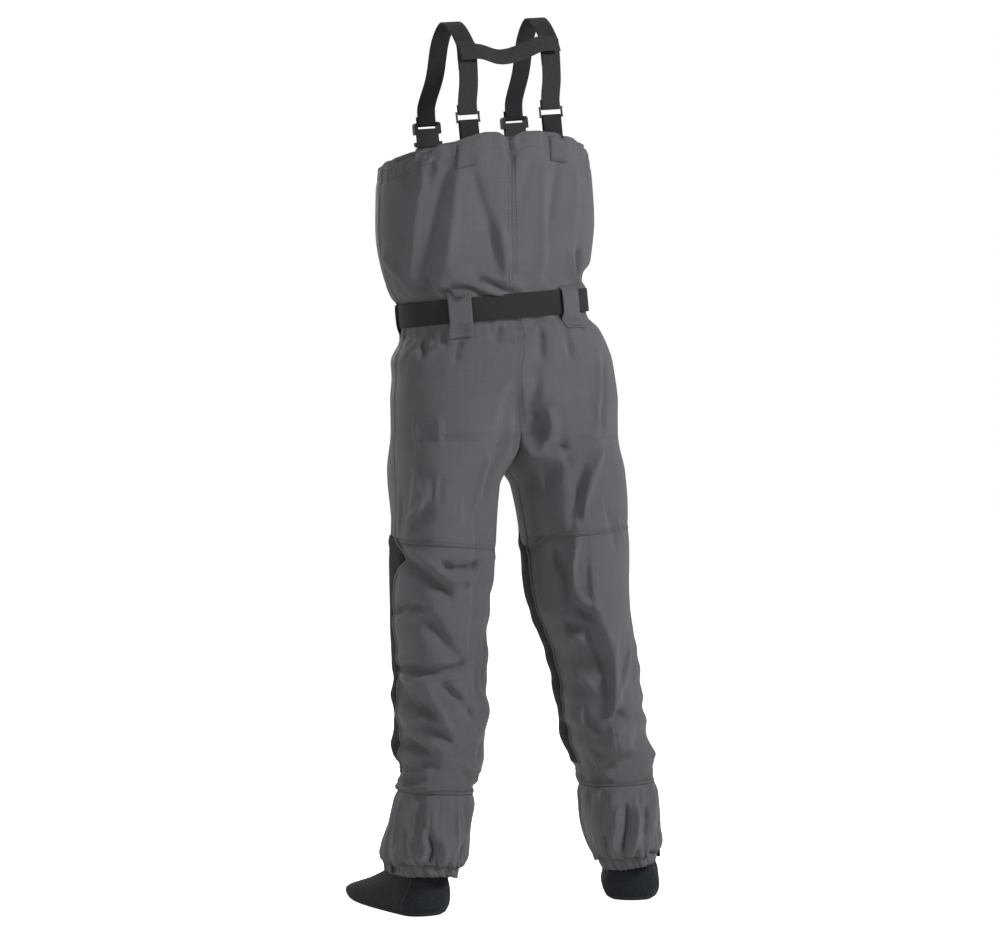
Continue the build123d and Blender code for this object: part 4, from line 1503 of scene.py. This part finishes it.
def make_harness(looks):
    """Straps, each folded back on itself round the bars that hold it, and their tabs."""
    side_ways = chest_frame.to_3x3() @ Vector((1, 0, 0))
    drift = math.tan(lean)

    def band(line):
        return band_mesh(moved(chest_frame, line), side_ways, strap_width, webbing)

    rear_tabs, front_tabs = [], []
    for side, sign in sides.items():
        rear_x = sign * rear_strap_side
        front_x, front_y = front_strap_side[side], front_strap_depth[side]
        route = []
        for share, depth, height in shoulder_line:
            route.append((rear_x + share * (front_x - rear_x) - drift * height, depth, height))
        bar = round_bar(rear_ring_depth, ring_bar_gap, ring_fold, 14)
        rear = upside_down(shift(bar, rear_x), ring_bar_gap)
        rear += [(rear_x - 2, rear_ring_depth + 2.6, 40), (route[0][0], 97, 62), route[1], route[2]]
        add_trim(f"rear_strap_{side}_webbing", [band(rear)], looks["elastic"], "elastic_webbing",
                 "harness", [f"rear_strap_{side}"])

        start_x, start_y, start_z = route[1]
        over = [(start_x, start_y - 2.5, start_z - 14), (start_x, start_y - 2.5, start_z),
                (route[2][0], route[2][1] - 2.4, route[2][2] - 2)] + route[3:]
        over += [(front_x - 1, front_y + 6.5, 48), (front_x, front_y + bar_fold, socket_bar + 15)]
        bar = round_bar(front_y, socket_bar, bar_fold, 14, 0, 180)
        down = upside_down(shift(bar, front_x), socket_bar)
        add_trim(f"shoulder_strap_{side}_webbing", [band(over + down[1:])], looks["strap"],
                 "webbing", "harness", [f"shoulder_strap_{side}"])

        rear_tabs.append(band(shift(round_bar(rear_ring_depth, 0, ring_fold, 50), rear_x)))
        front_tabs.append(band(shift(round_bar(front_y, plug_bar, bar_fold, 40), front_x)))
    add_trim("rear_tab_webbing", rear_tabs, looks["strap"], "webbing", nodes=["rear_tabs"])
    add_trim("front_tab_webbing", front_tabs, looks["strap"], "webbing", nodes=["front_tabs"])

    height = cross_height
    left, right = rear_strap_side - drift * height, -rear_strap_side - drift * height
    cross = [(left + 15, 94.6, height + 3), (left - 16, 96.2, height + 3), (38, 96.6, height + 1),
             (12, 97, height - 8), (-12, 97, height - 7), (-44, 97, height + 2),
             (right + 18, 96.4, height + 10), (right - 15, 94.6, height + 9)]
    across = chest_frame.to_3x3() @ Vector((0, -0.42, 1))
    mesh = band_mesh(moved(chest_frame, cross), across, cross_width, webbing)
    add_trim("cross_strap_webbing", [mesh], looks["elastic"], "elastic_webbing", "harness",
             ["cross_strap"])


tab_patch_bearings = (158.5, 206.5)


def make_tab_patches(shell, looks):
    """Cloth patches cover the ends of the rear tabs on the outside of the hem."""
    threads = []
    meshes = []
    heights = even(hem_height - 38, hem_height - 4, 4)
    for bearing in tab_patch_bearings:
        mesh = patch_mesh(shell, "torso", even(bearing - 6, bearing + 6, 1.2), heights,
                          lambda a, b: 1.5 if 0 < a < 1 and 0 < b < 1 else 0.9)
        meshes.append(mesh)
        for height in (hem_height - 35, hem_height - 32.5):
            line = level_line(height, bearing - 5.4, bearing + 5.4, 2)
            threads.append(stitch_mesh(shell, "torso", line, 2.1))
        for edge in (-5.3, 5.3):
            line = [(bearing + edge, height) for height in heights[1:]]
            threads.append(stitch_mesh(shell, "torso", line, 2.1))
    add_sheet("tab_patch_cloth", merge(meshes), [looks["shell"]], 0.9, "shell_fabric",
              ["tab_patches"])
    add_trim("tab_patch_stitching", threads, looks["thread"], "shell_fabric")


# ------------------------------------------------------------------ belt

waist_half = (164, 97)
belt_play = 2.8
belt_width = 40.0
buckle_line = -104.0
plug_bar_x = 20.5
tail_bar_x = -32.5
tail_fold = 4.2
belt_loop_bearings = (146, 216, 62, 298)
belt_loop_half = 19.5
# Heights on a belt loop and how far each stands off the waist. None is sewn to the cloth.
belt_loop_profile = ((-44, None), (-37, None), (-30, None), (-23, 5.4), (-16, 6.8), (0, 7.2),
                     (16, 6.8), (22, 5.4), (26, None), (31, None))


def waist_ring(play):
    """A level oval round the waist, that far outside it."""
    half_width, half_depth = (half + play for half in waist_half)
    return Outline([(height, 0, 0, half_width, half_depth, 0, 0) for height in (-1, 1)])


def half_turn(x, radius, sweep):
    """A fold's points round an upright bar in the buckle line. Sweep is 180 or -180."""
    angles = [math.radians(90 + sweep * i / 8) for i in range(9)]
    return [(x + radius * math.cos(angle), buckle_line + radius * math.sin(angle), 0)
            for angle in angles]


def make_belt(looks):
    """The belt from its fold round the plug's bar, round the waist to the socket, and the tail."""
    up = waist_frame.to_3x3() @ Vector((0, 0, 1))
    wrap_outline = waist_ring(belt_play)
    wrap = []
    for bearing in even(50, 310, 10):
        point = wrap_outline.point(bearing, 0)
        wrap.append(point + Vector((point.x, point.y, 0)).normalized() * webbing / 2)
    fold_out, fold_in = buckle_line - bar_fold, buckle_line + bar_fold
    line = [(38, fold_in, 0), (28, fold_in, 0)] + half_turn(plug_bar_x, bar_fold, 180)
    line += [(36, fold_out - 0.3, 0), (66, fold_out - 0.9, 0)] + wrap
    line += [(x, buckle_line - 0.9, 0) for x in (-84, -72, -60)]
    mesh = band_mesh(moved(waist_frame, line), up, belt_width, webbing)
    add_trim("belt_webbing_strap", [mesh], looks["webbing"], "webbing", nodes=["belt_webbing"])
    tail = [(-61, buckle_line + tail_fold, 0), *half_turn(tail_bar_x, tail_fold, -180),
            (-61, buckle_line - tail_fold, 0)]
    mesh = band_mesh(moved(waist_frame, tail), up, belt_width, webbing)
    add_trim("belt_tail_strap", [mesh], looks["webbing"], "webbing", "belt_adjuster", ["belt_tail"])


def make_belt_loops(shell, looks):
    """Strips of the shell cloth stand over the belt, sewn down above and below it."""
    meshes, threads = [], []
    ring = waist_ring(1.5)
    arc = torso.arc(belt_height)
    for bearing in belt_loop_bearings:
        middle = ring.point(bearing, 0)
        ahead = (ring.point(bearing + 3, 0) - ring.point(bearing - 3, 0)).normalized()
        out = ahead.cross(Vector((0, 0, 1)))
        rows = []
        for z, stand in belt_loop_profile:
            row = []
            for share in even(-1, 1, 0.25):
                beside = belt_loop_half * share
                if stand is None:
                    row.append(shell.spot("torso", bearing + beside / arc, belt_height + z, 1.6))
                else:
                    place = middle + ahead * beside + out * stand + Vector((0, 0, z))
                    row.append(waist_frame @ place)
            rows.append(row)
        meshes.append(grid_mesh(rows))
        reach = 17 / arc
        for z in (-42, -33, 28):
            line = level_line(belt_height + z, bearing - reach, bearing + reach, 4)
            threads.append(stitch_mesh(shell, "torso", line, 2.3))
    add_sheet("belt_loop_cloth", merge(meshes), [looks["shell"]], 1.3, "shell_fabric",
              ["belt_loops"], finer=1)
    add_trim("belt_loop_stitching", threads, looks["thread"], "shell_fabric")


# ------------------------------------------------------------------ pocket, hooks and tabs

zip_place = (15, -117.5)


def make_pocket(shell, looks):
    """The chest pocket, stitched on three sides, and the woven tape of its zip."""
    low, high = pocket_heights
    left, right = pocket_bearings
    mesh = patch_mesh(shell, "torso", even(left, right, 2), even(low, high, 6),
                      lambda a, b: 1.6 if 0 < a < 1 and 0 < b < 1 else 1.0)
    add_sheet("chest_pocket_cloth", mesh, [looks["shell"]], 1.0, "shell_fabric", ["chest_pocket"])
    edge = [(left + 2, high - 3), (left + 2, low + 3), (right - 2, low + 3), (right - 2, high - 3)]
    threads = []
    for a, b in zip(edge, edge[1:]):
        steps = even(0, 1, 1 / 12)
        line = [(a[0] + (b[0] - a[0]) * t, a[1] + (b[1] - a[1]) * t) for t in steps]
        threads.append(stitch_mesh(shell, "torso", line, 2.3))
    add_trim("chest_pocket_stitching", threads, looks["thread"], "shell_fabric")
    zip_line = [(*zip_place, height) for height in even(1110, 1244, 12)]
    mesh = band_mesh(zip_line, (1, 0, 0), 24, 1.2, 5)
    add_trim("zip_tape_woven", [mesh], looks["strap"], "zip_plastic", nodes=["zip_tape"])


hook_forward = {"left": 85.2, "right": 79.0}
hook_height = 92.0


def make_small_tabs(looks):
    """The lace hooks' loops on the feet and the folded tabs at the gravel guards' sides."""
    loops, tabs = [], []
    for side, sign in sides.items():
        line = upside_down(round_bar(-hook_forward[side], -hook_height, 2.2, 15), 0)
        across = foot_frame[side].to_3x3() @ Vector((1, 0, 0))
        loops.append(band_mesh(moved(foot_frame[side], line), across, 10, 1.2, 2))
        bearing = 90 * sign
        edge = outlines["guard_" + side].point(bearing, 78)
        x = edge.x + sign * 3.4
        fold = [(x - 0.7, edge.y, 72.6), (x - 0.7, edge.y, 84), (x, edge.y, 87.2),
                (x + 0.7, edge.y, 84), (x + 0.7, edge.y, 72.6)]
        tabs.append(band_mesh(fold, (0, 1, 0), 10, 0.9, 2))
    add_trim("hook_tab_webbing", loops, looks["strap"], "webbing", nodes=["hook_tabs"])
    add_trim("guard_side_tab_webbing", tabs, looks["strap"], "webbing", nodes=["guard_side_tabs"])


hardware = {
    "rear_rings": "wire", "lace_hook_left": "wire", "lace_hook_right": "wire",
    "strap_buckle_sockets": "plastic", "strap_buckle_plugs": "plastic", "belt_plug": "plastic",
    "belt_socket": "plastic", "belt_keeper": "plastic",
    "zip_teeth": "zip", "zip_slider": "zip", "zip_pull": "zip",
}


def finish_hardware(looks):
    """Gives the CAD nodes that are kept as they are their Blender materials."""
    for node, look in hardware.items():
        slots = frame["nodes"][node].material_slots
        for entry in slots:
            entry.material = looks[look]


# ------------------------------------------------------------------ making

looks = make_materials()
make_camera()
make_stage()
shell = Shell()
shell.crease()
settle(shell, frames=18, pressure=5, growth=0.07)
limit(shell, reach=16)
shell.sharpen(gain=0.45)
shell.outward = shell.normals()
make_pieces(shell, looks)
make_hem(shell, looks)
make_seams(shell, looks)
make_tapes(shell, looks)
make_gusset(shell, looks)
for side in sides:
    make_shin_guard(shell, side, looks)
    make_guard_trim(shell, side, looks)
    make_foot_seams(shell, side, looks)
make_harness(looks)
make_tab_patches(shell, looks)
make_belt(looks)
make_belt_loops(shell, looks)
make_pocket(shell, looks)
make_small_tabs(looks)
finish_hardware(looks)
